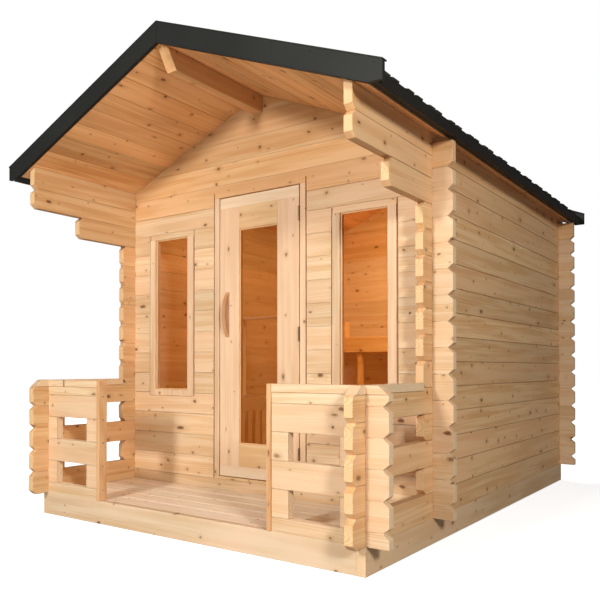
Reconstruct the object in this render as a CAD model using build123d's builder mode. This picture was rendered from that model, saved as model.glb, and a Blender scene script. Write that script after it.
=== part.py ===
import os
from math import cos, radians, tan

from build123d import *

# Log cabin sauna with a covered porch, millimetres.
# X runs along the front wall, Y from the porch to the back, Z up.
# The origin is on the ground, under the middle of the roof.

# Cabin and porch
cabin_width = 2350.0
cabin_depth = 2668.0
porch_depth = 744.0
sill_height = 137.0

# Logs
log_thickness = 45.0
log_course = 140.0
thin_course = 123.0
plate_height = 120.0
wall_courses = 13
log_overhang = 116.0
end_chamfer_depth = 30.0
end_chamfer_height = 25.0
seam_groove = 2.5
gable_bevel_height = 26.0
gable_bevel_depth = 4.0
log_gap = 0.3

# Brackets of long wall logs that carry the porch roof
short_bracket_reach = 507.0

# Roof
roof_pitch = 22.5
roof_half_width = 1320.0
roof_front_overhang = 134.0
roof_back_overhang = 104.0
roof_panel_thickness = 52.0
ceiling_board_count = 9
ceiling_groove = 5.0
shingle_thickness = 12.0
shingle_butt = 8.0
shingle_courses = 10
ridge_cap_width = 130.0
ridge_cap_thickness = 5.0
trim_board_thickness = 25.0
trim_board_drop = 6.0
trim_board_rise = 40.0
trim_level_cut = 73.0
eave_board_width = 70.0
eave_board_lift = 8.0
ridge_beam_width = 70.0
ridge_beam_height = 124.0
ridge_beam_bevel = 80.0

# Porch rails
rail_courses = 4
gate_half_width = 626.0
rail_post_thickness = 26.0
rail_post_depth = 62.0
rail_opening_inner = 754.0
rail_opening_outer = 1041.0
side_block_reach = 128.0
cap_height = 42.0
cap_width = 56.0
cap_tip_setback = 2.0
rail_tip_chamfer = 11.0

# Door
door_width = 630.0
door_height = 1828.0
door_bottom = 231.0
door_thickness = 38.0
door_gap = 7.0
door_stile_width = 161.0
door_end_board = 70.0
door_rail_height = 146.0
door_glass_thickness = 8.0
jamb_width = 40.0
stop_width = 14.0
stop_thickness = 12.0
stop_gap = 5.0
threshold_height = 18.0

# Door hinges and handles
hinge_count = 3
hinge_length = 90.0
hinge_end_margin = 130.0
hinge_barrel_radius = 6.0
hinge_pin_radius = 3.0
hinge_pin_clearance = 0.06
hinge_plate_thickness = 1.6
hinge_plate_width = 30.0
hinge_barrel_gap = 0.5
handle_length = 304.0
handle_width = 26.0
handle_thickness = 22.0
handle_stand_off = 48.0
handle_inset = 68.0
handle_center_height = 1289.0

# Windows
window_center = 760.0
window_width = 414.0
window_bottom = 745.0
window_top = 1848.0
window_stile_width = 52.0
window_sill_height = 43.0
window_trim_proud = 7.0
window_trim_depth = 52.0
window_glass_thickness = 8.0
window_glass_setback = 20.0

# Settling slots beside the frames
slot_width = 8.0
slot_depth = 14.0
slot_rise = 34.0

# Floor
floor_thickness = 20.0
floor_board_width = 120.0
floor_groove = 4.0
joist_thickness = 45.0
porch_joist_count = 3
cabin_joist_count = 5

# Bench and heater guard inside
bench_height = 1219.0
bench_depth = 560.0
bench_slat_thickness = 22.0
bench_slat_count = 5
bench_slat_gap = 18.0
bench_apron_height = 115.0
bench_apron_thickness = 28.0
bench_post_width = 42.0
bench_post_spacing = 850.0
bench_arm_center = -578.0
bench_arm_width = 43.0
bench_arm_depth = 74.0
bench_arm_height = 145.0
back_rail_height = 1375.0
back_rail_thickness = 20.0
back_rail_width = 70.0
back_rail_reach = 590.0
back_rail_setback = 1215.0
back_rail_post = 40.0
guard_height = 722.0
guard_offset = 650.0
guard_length = 820.0
guard_rail_height = 100.0
guard_rail_thickness = 26.0
guard_slat_width = 45.0
guard_slat_gap = 40.0
guard_slat_thickness = 20.0

# Places worked out from the sizes
side_x = cabin_width / 2
front_y = (roof_front_overhang - roof_back_overhang - porch_depth - cabin_depth) / 2
wall_y = front_y + porch_depth
back_y = wall_y + cabin_depth
porch_tip_y = front_y - log_overhang
tip_x = side_x + log_overhang
roof_slope = tan(radians(roof_pitch))
roof_secant = 1 / cos(radians(roof_pitch))
side_seams = [sill_height + log_course * k for k in range(wall_courses + 1)]
side_seams.append(side_seams[-1] + thin_course)
roof_underside_height = side_seams[-1] + plate_height + roof_slope * side_x
front_seams = [sill_height + log_course * (k + 0.5) for k in range(wall_courses)]
front_seams.append(front_seams[-1] + thin_course)
while front_seams[-1] + log_course < roof_underside_height:
    front_seams.append(front_seams[-1] + log_course)
gable_start = wall_courses
rail_top = sill_height + log_course * rail_courses + thin_course
door_opening_half = door_width / 2 + door_gap + jamb_width
door_opening_top = door_bottom + door_height + door_gap
hinge_x = door_width / 2 + door_gap / 2
hinge_y = wall_y - hinge_barrel_radius
floor_top = sill_height
inner_x = side_x - log_thickness


def roof_under(x):
    return roof_underside_height - roof_slope * abs(x)


def core(low, high, crossing):
    """Height range that a log keeps where it crosses logs with these seams."""
    inside = [z for z in crossing if low <= z < high]
    if not inside:
        return (low + high) / 2, high
    return (low + min(inside)) / 2, (high + max(inside)) / 2


def log_outline(start, end, low, high, notches=(), start_tip=True, end_tip=True,
                low_tip=True, high_tip=True, lowered=None):
    """Side view of one log: chamfered tips, and notches where other logs cross it.

    A notch is its near side, its far side and the height range that the log keeps there.
    A lowered log is cut down to a height from its start up to a place, and its tip is
    chamfered less there, because the cap on it carries the slope on.
    """
    top = high - log_gap
    depth = end_chamfer_depth
    rise = end_chamfer_height
    bottom_line = []
    top_line = []
    if start_tip and low_tip:
        bottom_line += [(start, low + rise), (start + depth, low)]
    else:
        bottom_line += [(start, low)]
    start_top = lowered[1] - log_gap if lowered else top
    if start_tip and high_tip:
        top_rise = rail_tip_chamfer if lowered else rise
        top_line += [(start, start_top - top_rise), (start + depth * top_rise / rise, start_top)]
    else:
        top_line += [(start, start_top)]
    for near, far, keep_low, keep_high in notches:
        if keep_low > low:
            bottom_line += [(near, low), (near, keep_low), (far, keep_low), (far, low)]
        if keep_high < high:
            notch_floor = keep_high - log_gap
            notch_top = start_top if lowered and far < lowered[0] else top
            top_line += [(near, notch_top), (near, notch_floor), (far, notch_floor), (far, notch_top)]
        if lowered and far < lowered[0]:
            top_line += [(lowered[0], start_top), (lowered[0], top)]
    if end_tip and low_tip:
        bottom_line += [(end - depth, low), (end, low + rise)]
    else:
        bottom_line += [(end, low)]
    if end_tip and high_tip:
        top_line += [(end - depth, top), (end, top - rise)]
    else:
        top_line += [(end, top)]
    return bottom_line + top_line[::-1]


def log_along_x(face_y, outline):
    """A log whose outer face lies at face_y and whose body runs back from it."""
    with BuildSketch(Plane.XZ.offset(-face_y)) as profile:
        with BuildLine():
            Polyline(*outline, close=True)
        make_face()
    extrude(profile.sketch, amount=-log_thickness)


def log_along_y(left_x, outline):
    """A log between left_x and left_x plus its thickness."""
    with BuildSketch(Plane.YZ.offset(left_x)) as profile:
        with BuildLine():
            Polyline(*outline, close=True)
        make_face()
    extrude(profile.sketch, amount=log_thickness)


def groove_seams_x(face_y, inward, seams):
    """V grooves along the seams in the weather face of logs that run along X."""
    with BuildSketch(Plane.YZ.offset(-tip_x)) as grooves:
        for z in seams:
            with BuildLine():
                Polyline((face_y, z - seam_groove), (face_y + inward * seam_groove, z),
                         (face_y, z + seam_groove), close=True)
            make_face()
    extrude(grooves.sketch, amount=2 * tip_x, mode=Mode.SUBTRACT)


def bevel_seams_x(face_y, inward, seams):
    """Bevels on the lower edges of gable logs, over seams in their weather face."""
    with BuildSketch(Plane.YZ.offset(-tip_x)) as bevels:
        for z in seams:
            with BuildLine():
                Polyline((face_y, z - seam_groove), (face_y + inward * gable_bevel_depth, z),
                         (face_y, z + gable_bevel_height), close=True)
            make_face()
    extrude(bevels.sketch, amount=2 * tip_x, mode=Mode.SUBTRACT)


def groove_seams_y(face_x, inward, seams):
    """V grooves along the seams in the weather face of logs that run along Y."""
    with BuildSketch(Plane.XZ.offset(-porch_tip_y)) as grooves:
        for z in seams:
            with BuildLine():
                Polyline((face_x, z - seam_groove), (face_x + inward * seam_groove, z),
                         (face_x, z + seam_groove), close=True)
            make_face()
    extrude(grooves.sketch, amount=porch_tip_y - back_y - log_overhang, mode=Mode.SUBTRACT)


def cut_to_roof():
    """Cut away what stands above the underside of the roof."""
    reach = roof_half_width * 2
    drop = roof_slope * reach + log_gap
    peak = roof_underside_height - log_gap
    with BuildSketch(Plane.XZ) as above:
        with BuildLine():
            Polyline((-reach, peak - drop), (0, peak), (reach, peak - drop), (reach, peak * 2),
                     (-reach, peak * 2), close=True)
        make_face()
    extrude(above.sketch, amount=cabin_depth * 2, both=True, mode=Mode.SUBTRACT)


def save(part, name):
    part.label = name
    export_step(part, f"parts/{name}.step")


os.makedirs("parts", exist_ok=True)
side_crossings_x = [(-side_x - log_gap, -inner_x + log_gap), (inner_x - log_gap, side_x + log_gap)]
front_crossing_y = (wall_y - log_gap, wall_y + log_thickness + log_gap)
back_crossing_y = (back_y - log_thickness - log_gap, back_y + log_gap)
rail_crossing_y = (front_y - log_gap, front_y + log_thickness + log_gap)


def corner_notches(start, end, keep):
    """Notches of a log along X for the side walls that it crosses."""
    return [pair + keep for pair in side_crossings_x if start < pair[0] and pair[1] < end]


def cabin_notches(low, high):
    """Notches of a log along Y for the front and back walls."""
    keep = core(low, high, front_seams)
    return [front_crossing_y + keep, back_crossing_y + keep]


# Sill frame
with BuildPart() as sill_sides:
    for left in (-side_x, inner_x):
        with BuildSketch(Plane.XY):
            with Locations((left + log_thickness / 2, (front_y + back_y) / 2)):
                Rectangle(log_thickness, back_y - front_y)
        extrude(amount=sill_height)
save(sill_sides.part, "sill_sides")

with BuildPart() as sill_crossbeams:
    for y in (front_y, wall_y, back_y - log_thickness):
        with BuildSketch(Plane.XY):
            with Locations((0, y + log_thickness / 2)):
                Rectangle(2 * inner_x, log_thickness)
        extrude(amount=sill_height)
save(sill_crossbeams.part, "sill_crossbeams")

# Floor joists run front to back between the crossbeams
floor_bays = [(front_y + log_thickness, wall_y, porch_joist_count),
              (wall_y + log_thickness, back_y - log_thickness, cabin_joist_count)]
with BuildPart() as floor_joists:
    for bay_start, bay_end, count in floor_bays:
        spacing = 2 * inner_x / (count + 1)
        with BuildSketch(Plane.XY):
            with Locations((0, (bay_start + bay_end) / 2)):
                with GridLocations(spacing, 1, count, 1):
                    Rectangle(joist_thickness, bay_end - bay_start)
        extrude(amount=sill_height - floor_thickness)
save(floor_joists.part, "floor_joists")


def floor_part(bay_start, bay_end):
    """Tongued boards along X, with a groove in the top at each joint."""
    length = bay_end - bay_start
    middle = (bay_start + bay_end) / 2
    boards = max(int(length / floor_board_width), 1)
    with BuildPart() as floor:
        with BuildSketch(Plane.XY.offset(floor_top - floor_thickness)):
            with Locations((0, middle)):
                Rectangle(2 * inner_x, length)
        extrude(amount=floor_thickness)
        with BuildSketch(Plane.YZ.offset(-inner_x)):
            for k in range(1, boards):
                joint = bay_start + length * k / boards
                with BuildLine():
                    Polyline((joint - floor_groove, floor_top), (joint, floor_top - floor_groove),
                             (joint + floor_groove, floor_top), close=True)
                make_face()
        extrude(amount=2 * inner_x, mode=Mode.SUBTRACT)
    return floor.part


save(floor_part(*floor_bays[0][:2]), "porch_floor")
save(floor_part(*floor_bays[1][:2]), "cabin_floor")

# Side walls: short logs, logs that run on as porch rails, and the top logs that carry the roof
for side, left, weather_x, inward in (("left", -side_x, -side_x, 1), ("right", inner_x, side_x, -1)):
    with BuildPart() as side_wall:
        for k in range(wall_courses - 1):
            if k % 2 == 0 and k <= rail_courses:
                continue
            low = side_seams[k]
            high = side_seams[k + 1]
            log_along_y(left, log_outline(wall_y - log_overhang, back_y + log_overhang, low, high,
                                          cabin_notches(low, high)))
        groove_seams_y(weather_x, inward, side_seams[:wall_courses])
    save(side_wall.part, f"{side}_wall")

    with BuildPart() as rail_logs:
        for k in range(0, rail_courses + 1, 2):
            low = side_seams[k]
            high = side_seams[k + 1]
            rail_high = min(high, rail_top)
            notches = [rail_crossing_y + core(low, rail_high, front_seams)]
            notches += cabin_notches(low, high)
            lowered = (wall_y - log_overhang, rail_high) if rail_high < high else None
            log_along_y(left, log_outline(porch_tip_y, back_y + log_overhang, low, high, notches,
                                          lowered=lowered))
        for k in range(1, rail_courses, 2):
            low = side_seams[k]
            high = side_seams[k + 1]
            log_along_y(left, log_outline(porch_tip_y, front_y + side_block_reach, low, high,
                                          [rail_crossing_y + core(low, high, front_seams)],
                                          end_tip=False))
        groove_seams_y(weather_x, inward, side_seams[:rail_courses + 2])
    save(rail_logs.part, f"{side}_rail_logs")

    with BuildPart() as top_logs:
        low = side_seams[wall_courses - 1]
        high = side_seams[wall_courses]
        log_along_y(left, log_outline(wall_y - short_bracket_reach, back_y + log_overhang, low, high,
                                      cabin_notches(low, high)))
        low = side_seams[wall_courses]
        high = side_seams[wall_courses + 1]
        log_along_y(left, log_outline(porch_tip_y, back_y + log_overhang, low, high,
                                      cabin_notches(low, high)))
        low = side_seams[wall_courses + 1]
        high = low + plate_height + log_course
        plate_keep = (core(low, high, [front_seams[gable_start + 1]])[0], high)
        log_along_y(left, log_outline(porch_tip_y, back_y + roof_back_overhang, low, high,
                                      [front_crossing_y + plate_keep, back_crossing_y + plate_keep],
                                      end_tip=False, high_tip=False))
        groove_seams_y(weather_x, inward, side_seams[wall_courses - 1:])
        cut_to_roof()
    save(top_logs.part, f"{side}_top_logs")


def wall_log(face_y, start, end, low, high, start_tip, end_tip, high_tip=True):
    """A log of the front or back wall, notched where side logs cross it."""
    notches = corner_notches(start, end, core(low, high, side_seams))
    log_along_x(face_y, log_outline(start, end, low, high, notches, start_tip, end_tip,
                                    low > sill_height, high_tip))


def cut_box(x_start, x_end, y_start, y_end, z_start, z_end):
    with BuildSketch(Plane.XY.offset(z_start)) as footprint:
        with Locations(((x_start + x_end) / 2, (y_start + y_end) / 2)):
            Rectangle(x_end - x_start, y_end - y_start)
    extrude(footprint.sketch, amount=z_end - z_start, mode=Mode.SUBTRACT)


def cut_slot(x_middle, z_start, z_end):
    """Narrow upright slot beside a frame, round at its top."""
    with BuildSketch(Plane.XZ.offset(-wall_y)) as slot:
        with Locations((x_middle, (z_start + z_end) / 2)):
            Rectangle(slot_width, z_end - z_start)
        with Locations((x_middle, z_end)):
            Circle(slot_width / 2)
    extrude(slot.sketch, amount=-slot_depth, mode=Mode.SUBTRACT)


# Front wall: the log under the door, the logs beside it and the logs over it
with BuildPart() as front_wall_base:
    wall_log(wall_y, -tip_x, tip_x, sill_height, front_seams[0], True, True)
    groove_seams_x(wall_y, 1, front_seams[:1])
save(front_wall_base.part, "front_wall_base")

for side, sign in (("left", -1), ("right", 1)):
    start = -tip_x if sign < 0 else door_opening_half
    end = -door_opening_half if sign < 0 else tip_x
    window_middle = sign * window_center
    with BuildPart() as front_wall_side:
        for k in range(gable_start):
            wall_log(wall_y, start, end, front_seams[k], front_seams[k + 1], sign < 0, sign > 0)
        groove_seams_x(wall_y, 1, front_seams[:gable_start + 1])
        cut_box(window_middle - window_width / 2, window_middle + window_width / 2,
                wall_y - log_thickness, wall_y + 2 * log_thickness, window_bottom, window_top)
        for edge in (-1, 1):
            cut_slot(window_middle + edge * (window_width + slot_width) / 2, window_bottom,
                     window_top + slot_rise)
        cut_slot(sign * (door_opening_half + slot_width / 2), front_seams[0],
                 door_opening_top + slot_rise)
    save(front_wall_side.part, f"front_wall_{side}")


def gable_logs(face_y, weather_y, inward):
    """Logs from the eaves up to the ridge, open for the ridge beam."""
    for k in range(gable_start, len(front_seams)):
        low = front_seams[k]
        high = front_seams[k + 1] if k + 1 < len(front_seams) else low + log_course
        if k == gable_start:
            wall_log(face_y, -tip_x, tip_x, low, high, True, True, high_tip=False)
        else:
            log_along_x(face_y, log_outline(-inner_x + log_gap, inner_x - log_gap, low, high,
                                            start_tip=False, end_tip=False))
    groove_seams_x(weather_y, inward, front_seams[gable_start:gable_start + 1])
    bevel_seams_x(weather_y, inward, front_seams[gable_start + 1:])
    cut_to_roof()
    beam_half = ridge_beam_width / 2 + log_gap
    cut_box(-beam_half, beam_half, face_y - log_thickness, face_y + 2 * log_thickness,
            roof_underside_height - ridge_beam_height - log_gap, roof_underside_height)


with BuildPart() as front_gable:
    gable_logs(wall_y, wall_y, 1)
    cut_box(-door_opening_half, door_opening_half, wall_y - log_thickness,
            wall_y + 2 * log_thickness, front_seams[gable_start] - log_thickness, door_opening_top)
    for sign in (-1, 1):
        cut_slot(sign * (door_opening_half + slot_width / 2), front_seams[0],
                 door_opening_top + slot_rise)
save(front_gable.part, "front_gable")

# Back wall
with BuildPart() as back_wall:
    wall_log(back_y - log_thickness, -tip_x, tip_x, sill_height, front_seams[0], True, True)
    for k in range(gable_start):
        wall_log(back_y - log_thickness, -tip_x, tip_x, front_seams[k], front_seams[k + 1], True, True)
    groove_seams_x(back_y, -1, front_seams[:gable_start + 1])
save(back_wall.part, "back_wall")

with BuildPart() as back_gable:
    gable_logs(back_y - log_thickness, back_y, -1)
save(back_gable.part, "back_gable")

# Porch rails along the front, with an opening in every other course
for side, sign in (("left", -1), ("right", 1)):
    tip = sign * tip_x
    post_face = sign * (gate_half_width + rail_post_thickness)
    outer = sign * rail_opening_outer
    inner = sign * rail_opening_inner
    with BuildPart() as porch_rail:
        rail_seams = [sill_height] + front_seams[:rail_courses + 1] + [rail_top]
        for k in range(len(rail_seams) - 1):
            low = rail_seams[k]
            high = rail_seams[k + 1]
            spans = [(tip, post_face)]
            if k % 2 == 1 and k < len(rail_seams) - 2:
                spans = [(tip, outer), (inner, post_face)]
            for first, last in spans:
                start = min(first, last)
                end = max(first, last)
                keep = core(low, high, side_seams[:rail_courses + 1])
                log_along_x(front_y, log_outline(
                    start, end, low, high, corner_notches(start, end, keep),
                    start == -tip_x, end == tip_x, k > 0, k < len(rail_seams) - 2))
        groove_seams_x(front_y, 1, rail_seams[1:-1])
    save(porch_rail.part, f"{side}_porch_rail")

# Rail caps along the front and the side, crossing over the corner, with ends sloped as the log tips are
cap_edge = (cap_width - log_thickness) / 2
chamfer_slant = end_chamfer_depth / end_chamfer_height
cap_slant = cap_height * chamfer_slant
with BuildPart() as rail_caps:
    cap_top = rail_top + cap_height
    cap_end = wall_y - log_overhang - log_gap
    cap_tip_x = tip_x - cap_tip_setback
    cap_tip_y = porch_tip_y + rail_tip_chamfer * chamfer_slant
    for sign in (-1, 1):
        gate_x = sign * (gate_half_width + rail_post_thickness)
        with BuildSketch(Plane.XZ.offset(-front_y + cap_edge)):
            with BuildLine():
                Polyline((gate_x, rail_top), (sign * cap_tip_x, rail_top),
                         (sign * (cap_tip_x - cap_slant), cap_top), (gate_x, cap_top), close=True)
            make_face()
        extrude(amount=-cap_width)
        with BuildSketch(Plane.YZ.offset(sign * (side_x + cap_edge))):
            with BuildLine():
                Polyline((cap_end, rail_top), (cap_tip_y, rail_top), (cap_tip_y + cap_slant, cap_top),
                         (cap_end, cap_top), close=True)
            make_face()
        extrude(amount=-sign * cap_width)
save(rail_caps.part, "rail_caps")

with BuildPart() as rail_posts:
    for sign in (-1, 1):
        with BuildSketch(Plane.XY.offset(sill_height)):
            with Locations((sign * (gate_half_width + rail_post_thickness / 2),
                            front_y + log_thickness / 2)):
                Rectangle(rail_post_thickness - log_gap, rail_post_depth)
        extrude(amount=rail_top + cap_height - sill_height)
save(rail_posts.part, "rail_posts")

# Ridge beam, bevelled at the porch end
with BuildPart() as ridge_beam:
    beam_bottom = roof_underside_height - ridge_beam_height
    beam_end = back_y + roof_back_overhang
    with BuildSketch(Plane.YZ.offset(-ridge_beam_width / 2)):
        with BuildLine():
            Polyline((porch_tip_y, roof_underside_height), (porch_tip_y + ridge_beam_bevel, beam_bottom),
                     (beam_end, beam_bottom), (beam_end, roof_underside_height), close=True)
        make_face()
    extrude(amount=ridge_beam_width)
    cut_to_roof()
save(ridge_beam.part, "ridge_beam")

# Roof panels with grooved ceiling boards, and stepped shingles on top
panel_edge = roof_half_width - eave_board_width
roof_start = front_y - roof_front_overhang
roof_length = back_y + roof_back_overhang - roof_start
panel_rise = roof_panel_thickness * roof_secant
shingle_rise = shingle_thickness * roof_secant
butt_rise = shingle_butt * roof_secant
for side, sign in (("left", -1), ("right", 1)):
    with BuildPart() as roof_panel:
        with BuildSketch(Plane.XZ.offset(-roof_start)):
            with BuildLine():
                edge_x = sign * panel_edge
                peak_x = sign * log_gap
                ceiling = [(peak_x, roof_under(peak_x))]
                for k in range(1, ceiling_board_count):
                    joint = edge_x * k / ceiling_board_count
                    half = ceiling_groove
                    ceiling += [(joint - sign * half, roof_under(joint - sign * half)),
                                (joint, roof_under(joint) + half),
                                (joint + sign * half, roof_under(joint + sign * half))]
                ceiling += [(edge_x, roof_under(edge_x)), (edge_x, roof_under(edge_x) + panel_rise),
                            (peak_x, roof_under(peak_x) + panel_rise)]
                Polyline(*ceiling, close=True)
            make_face()
        extrude(amount=-roof_length)
    save(roof_panel.part, f"roof_panel_{side}")

    with BuildPart() as shingles:
        with BuildSketch(Plane.XZ.offset(-roof_start)):
            with BuildLine():
                steps = [(peak_x, roof_under(peak_x) + panel_rise + log_gap)]
                top = []
                exposure = (roof_half_width - log_gap) / shingle_courses
                for k in range(shingle_courses):
                    near = sign * (log_gap + exposure * k)
                    far = sign * (log_gap + exposure * (k + 1))
                    lift = panel_rise + shingle_rise - butt_rise
                    top += [(near, roof_under(near) + lift), (far, roof_under(far) + lift + butt_rise)]
                steps += top + [(far, roof_under(far) + panel_rise + log_gap)]
                Polyline(*steps, close=True)
            make_face()
        extrude(amount=-roof_length)
    save(shingles.part, f"shingles_{side}")

with BuildPart() as ridge_cap:
    with BuildSketch(Plane.XZ.offset(-roof_start)):
        with BuildLine():
            seat = panel_rise + shingle_rise + log_gap
            cap_rise = ridge_cap_thickness * roof_secant
            half = ridge_cap_width
            Polyline((-half, roof_under(half) + seat), (0, roof_under(0) + seat),
                     (half, roof_under(half) + seat), (half, roof_under(half) + seat + cap_rise),
                     (0, roof_under(0) + seat + cap_rise),
                     (-half, roof_under(half) + seat + cap_rise), close=True)
        make_face()
    extrude(amount=-roof_length)
save(ridge_cap.part, "ridge_cap")

# Metal-clad trim boards on the gable edges, cut level at their lower ends
trim_top = panel_rise + (shingle_thickness + trim_board_rise) * roof_secant
trim_bottom = trim_board_drop * roof_secant
outer_edge_x = roof_half_width + trim_board_thickness
level_x = outer_edge_x - trim_level_cut
level_z = roof_under(level_x) - trim_bottom
with BuildPart() as gable_trims:
    for face_y in (roof_start - trim_board_thickness, roof_start + roof_length):
        with BuildSketch(Plane.XZ.offset(-face_y)):
            with BuildLine():
                Polyline((-outer_edge_x, level_z), (-level_x, level_z),
                         (0, roof_under(0) - trim_bottom),
                         (level_x, level_z), (outer_edge_x, level_z),
                         (outer_edge_x, roof_under(outer_edge_x) + trim_top),
                         (0, roof_under(0) + trim_top),
                         (-outer_edge_x, roof_under(outer_edge_x) + trim_top), close=True)
            make_face()
        extrude(amount=-trim_board_thickness)
save(gable_trims.part, "gable_trims")

# Clad boards along the eaves, level with the roof panels and under the shingles
with BuildPart() as eave_trims:
    eave_rise = eave_board_lift * roof_secant
    for sign in (-1, 1):
        with BuildSketch(Plane.XZ.offset(-roof_start)):
            with BuildLine():
                near = sign * (panel_edge + log_gap)
                far = sign * roof_half_width
                Polyline((near, roof_under(near) + eave_rise), (far, roof_under(far) + eave_rise),
                         (far, roof_under(far) + panel_rise), (near, roof_under(near) + panel_rise),
                         close=True)
            make_face()
        extrude(amount=-roof_length)
save(eave_trims.part, "eave_trims")

# Door frame: jambs with stops, and the threshold
with BuildPart() as door_jambs:
    jamb_bottom = front_seams[0] + threshold_height
    jamb_top = door_opening_top
    stop_face = wall_y + door_thickness + stop_gap
    for sign in (-1, 1):
        outer = sign * (door_opening_half - log_gap)
        inner = sign * (door_width / 2 + door_gap)
        stop = sign * (door_width / 2 + door_gap - stop_width)
        back_face = stop_face + stop_thickness
        with BuildSketch(Plane.XY.offset(jamb_bottom + log_gap)):
            with BuildLine():
                Polyline((outer, wall_y), (inner, wall_y),
                         (inner, stop_face), (stop, stop_face), (stop, back_face),
                         (outer, back_face), close=True)
            make_face()
        extrude(amount=jamb_top - jamb_bottom - 2 * log_gap)
save(door_jambs.part, "door_jambs")

with BuildPart() as threshold:
    with BuildSketch(Plane.XY.offset(front_seams[0])):
        with Locations((0, wall_y + log_thickness / 2)):
            Rectangle(2 * (door_opening_half - log_gap), log_thickness)
    extrude(amount=threshold_height)
save(threshold.part, "threshold")

# Door leaf
leaf_half = door_width / 2
leaf_top = door_bottom + door_height
glass_half = leaf_half - door_stile_width
glass_bottom = door_bottom + door_end_board + door_rail_height
glass_top = leaf_top - door_end_board - door_rail_height
with BuildPart() as door_stiles:
    for sign in (-1, 1):
        with BuildSketch(Plane.XY.offset(door_bottom + door_end_board)):
            with Locations((sign * (leaf_half - door_stile_width / 2), wall_y + door_thickness / 2)):
                Rectangle(door_stile_width, door_thickness)
        extrude(amount=door_height - 2 * door_end_board)
save(door_stiles.part, "door_stiles")

with BuildPart() as door_rails:
    for low in (door_bottom + door_end_board, glass_top):
        with BuildSketch(Plane.XY.offset(low)):
            with Locations((0, wall_y + door_thickness / 2)):
                Rectangle(2 * glass_half, door_thickness)
        extrude(amount=door_rail_height)
save(door_rails.part, "door_rails")

with BuildPart() as door_end_boards:
    for low in (door_bottom, leaf_top - door_end_board):
        with BuildSketch(Plane.XY.offset(low)):
            with Locations((0, wall_y + door_thickness / 2)):
                Rectangle(door_width, door_thickness)
        extrude(amount=door_end_board)
save(door_end_boards.part, "door_end_boards")

with BuildPart() as door_glass:
    with BuildSketch(Plane.XY.offset(glass_bottom + log_gap)):
        with Locations((0, wall_y + door_thickness / 2)):
            Rectangle(2 * (glass_half - log_gap), door_glass_thickness)
    extrude(amount=glass_top - glass_bottom - 2 * log_gap)
save(door_glass.part, "door_glass")

# Bow handles, one on each face of the left stile
handle_x = -leaf_half + handle_inset


def bow_handle(face, direction):
    """Flat wooden bow that touches the door at its two ends."""
    reach = direction * handle_stand_off
    inner_reach = direction * (handle_stand_off - handle_thickness)
    low = handle_center_height - handle_length / 2
    high = handle_center_height + handle_length / 2
    foot = handle_thickness
    with BuildSketch(Plane.YZ.offset(handle_x - handle_width / 2)) as bow:
        with BuildLine():
            ThreePointArc((face, low), (face + reach, handle_center_height), (face, high))
            Line((face, high), (face, high - foot))
            ThreePointArc((face, high - foot), (face + inner_reach, handle_center_height),
                          (face, low + foot))
            Line((face, low + foot), (face, low))
        make_face()
    extrude(bow.sketch, amount=handle_width)


with BuildPart() as door_handles:
    bow_handle(wall_y - log_gap, -1)
    bow_handle(wall_y + door_thickness + log_gap, 1)
save(door_handles.part, "door_handles")

# Butt hinges: the door carries the middle knuckle, the jamb the pin and the outer knuckles
hinge_pitch = (door_height - 2 * hinge_end_margin - hinge_length) / (hinge_count - 1)
knuckle = hinge_length / 3
with BuildPart() as door_hinge_leaves:
    for k in range(hinge_count):
        low = door_bottom + hinge_end_margin + hinge_pitch * k
        with BuildSketch(Plane.XY.offset(low + knuckle + hinge_barrel_gap)):
            with Locations((hinge_x, hinge_y)):
                Circle(hinge_barrel_radius)
                Circle(hinge_pin_radius + hinge_pin_clearance, mode=Mode.SUBTRACT)
        extrude(amount=knuckle - 2 * hinge_barrel_gap)
        with BuildSketch(Plane.XY.offset(low + knuckle + hinge_barrel_gap)):
            plate_end = wall_y + hinge_plate_width
            with Locations((leaf_half + hinge_plate_thickness / 2,
                            (hinge_y + hinge_barrel_radius / 2 + plate_end) / 2)):
                Rectangle(hinge_plate_thickness, plate_end - hinge_y - hinge_barrel_radius / 2)
            with Locations((hinge_x, hinge_y)):
                Circle(hinge_pin_radius + hinge_pin_clearance, mode=Mode.SUBTRACT)
        extrude(amount=knuckle - 2 * hinge_barrel_gap)
save(door_hinge_leaves.part, "door_hinge_leaves")

with BuildPart() as jamb_hinge_leaves:
    for k in range(hinge_count):
        low = door_bottom + hinge_end_margin + hinge_pitch * k
        with BuildSketch(Plane.XY.offset(low)):
            with Locations((hinge_x, hinge_y)):
                Circle(hinge_pin_radius)
        extrude(amount=hinge_length)
        for start in (low, low + 2 * knuckle):
            with BuildSketch(Plane.XY.offset(start)):
                with Locations((hinge_x, hinge_y)):
                    Circle(hinge_barrel_radius)
                plate_x = leaf_half + door_gap - hinge_plate_thickness / 2
                with Locations((plate_x, (hinge_y + plate_end) / 2)):
                    Rectangle(hinge_plate_thickness, plate_end - hinge_y)
            extrude(amount=knuckle)
save(jamb_hinge_leaves.part, "jamb_hinge_leaves")

# Windows: stiles, sill and fixed glass
with BuildPart() as window_frames:
    for sign in (-1, 1):
        middle = sign * window_center
        half = window_width / 2 - log_gap
        frame_y = wall_y - window_trim_proud + window_trim_depth / 2
        for edge in (-1, 1):
            with BuildSketch(Plane.XY.offset(window_bottom + window_sill_height)):
                with Locations((middle + edge * (half - window_stile_width / 2), frame_y)):
                    Rectangle(window_stile_width, window_trim_depth)
            extrude(amount=window_top - window_bottom - window_sill_height - log_gap)
        with BuildSketch(Plane.XY.offset(window_bottom + log_gap)):
            with Locations((middle, frame_y)):
                Rectangle(2 * half, window_trim_depth)
        extrude(amount=window_sill_height - log_gap)
save(window_frames.part, "window_frames")

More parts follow.
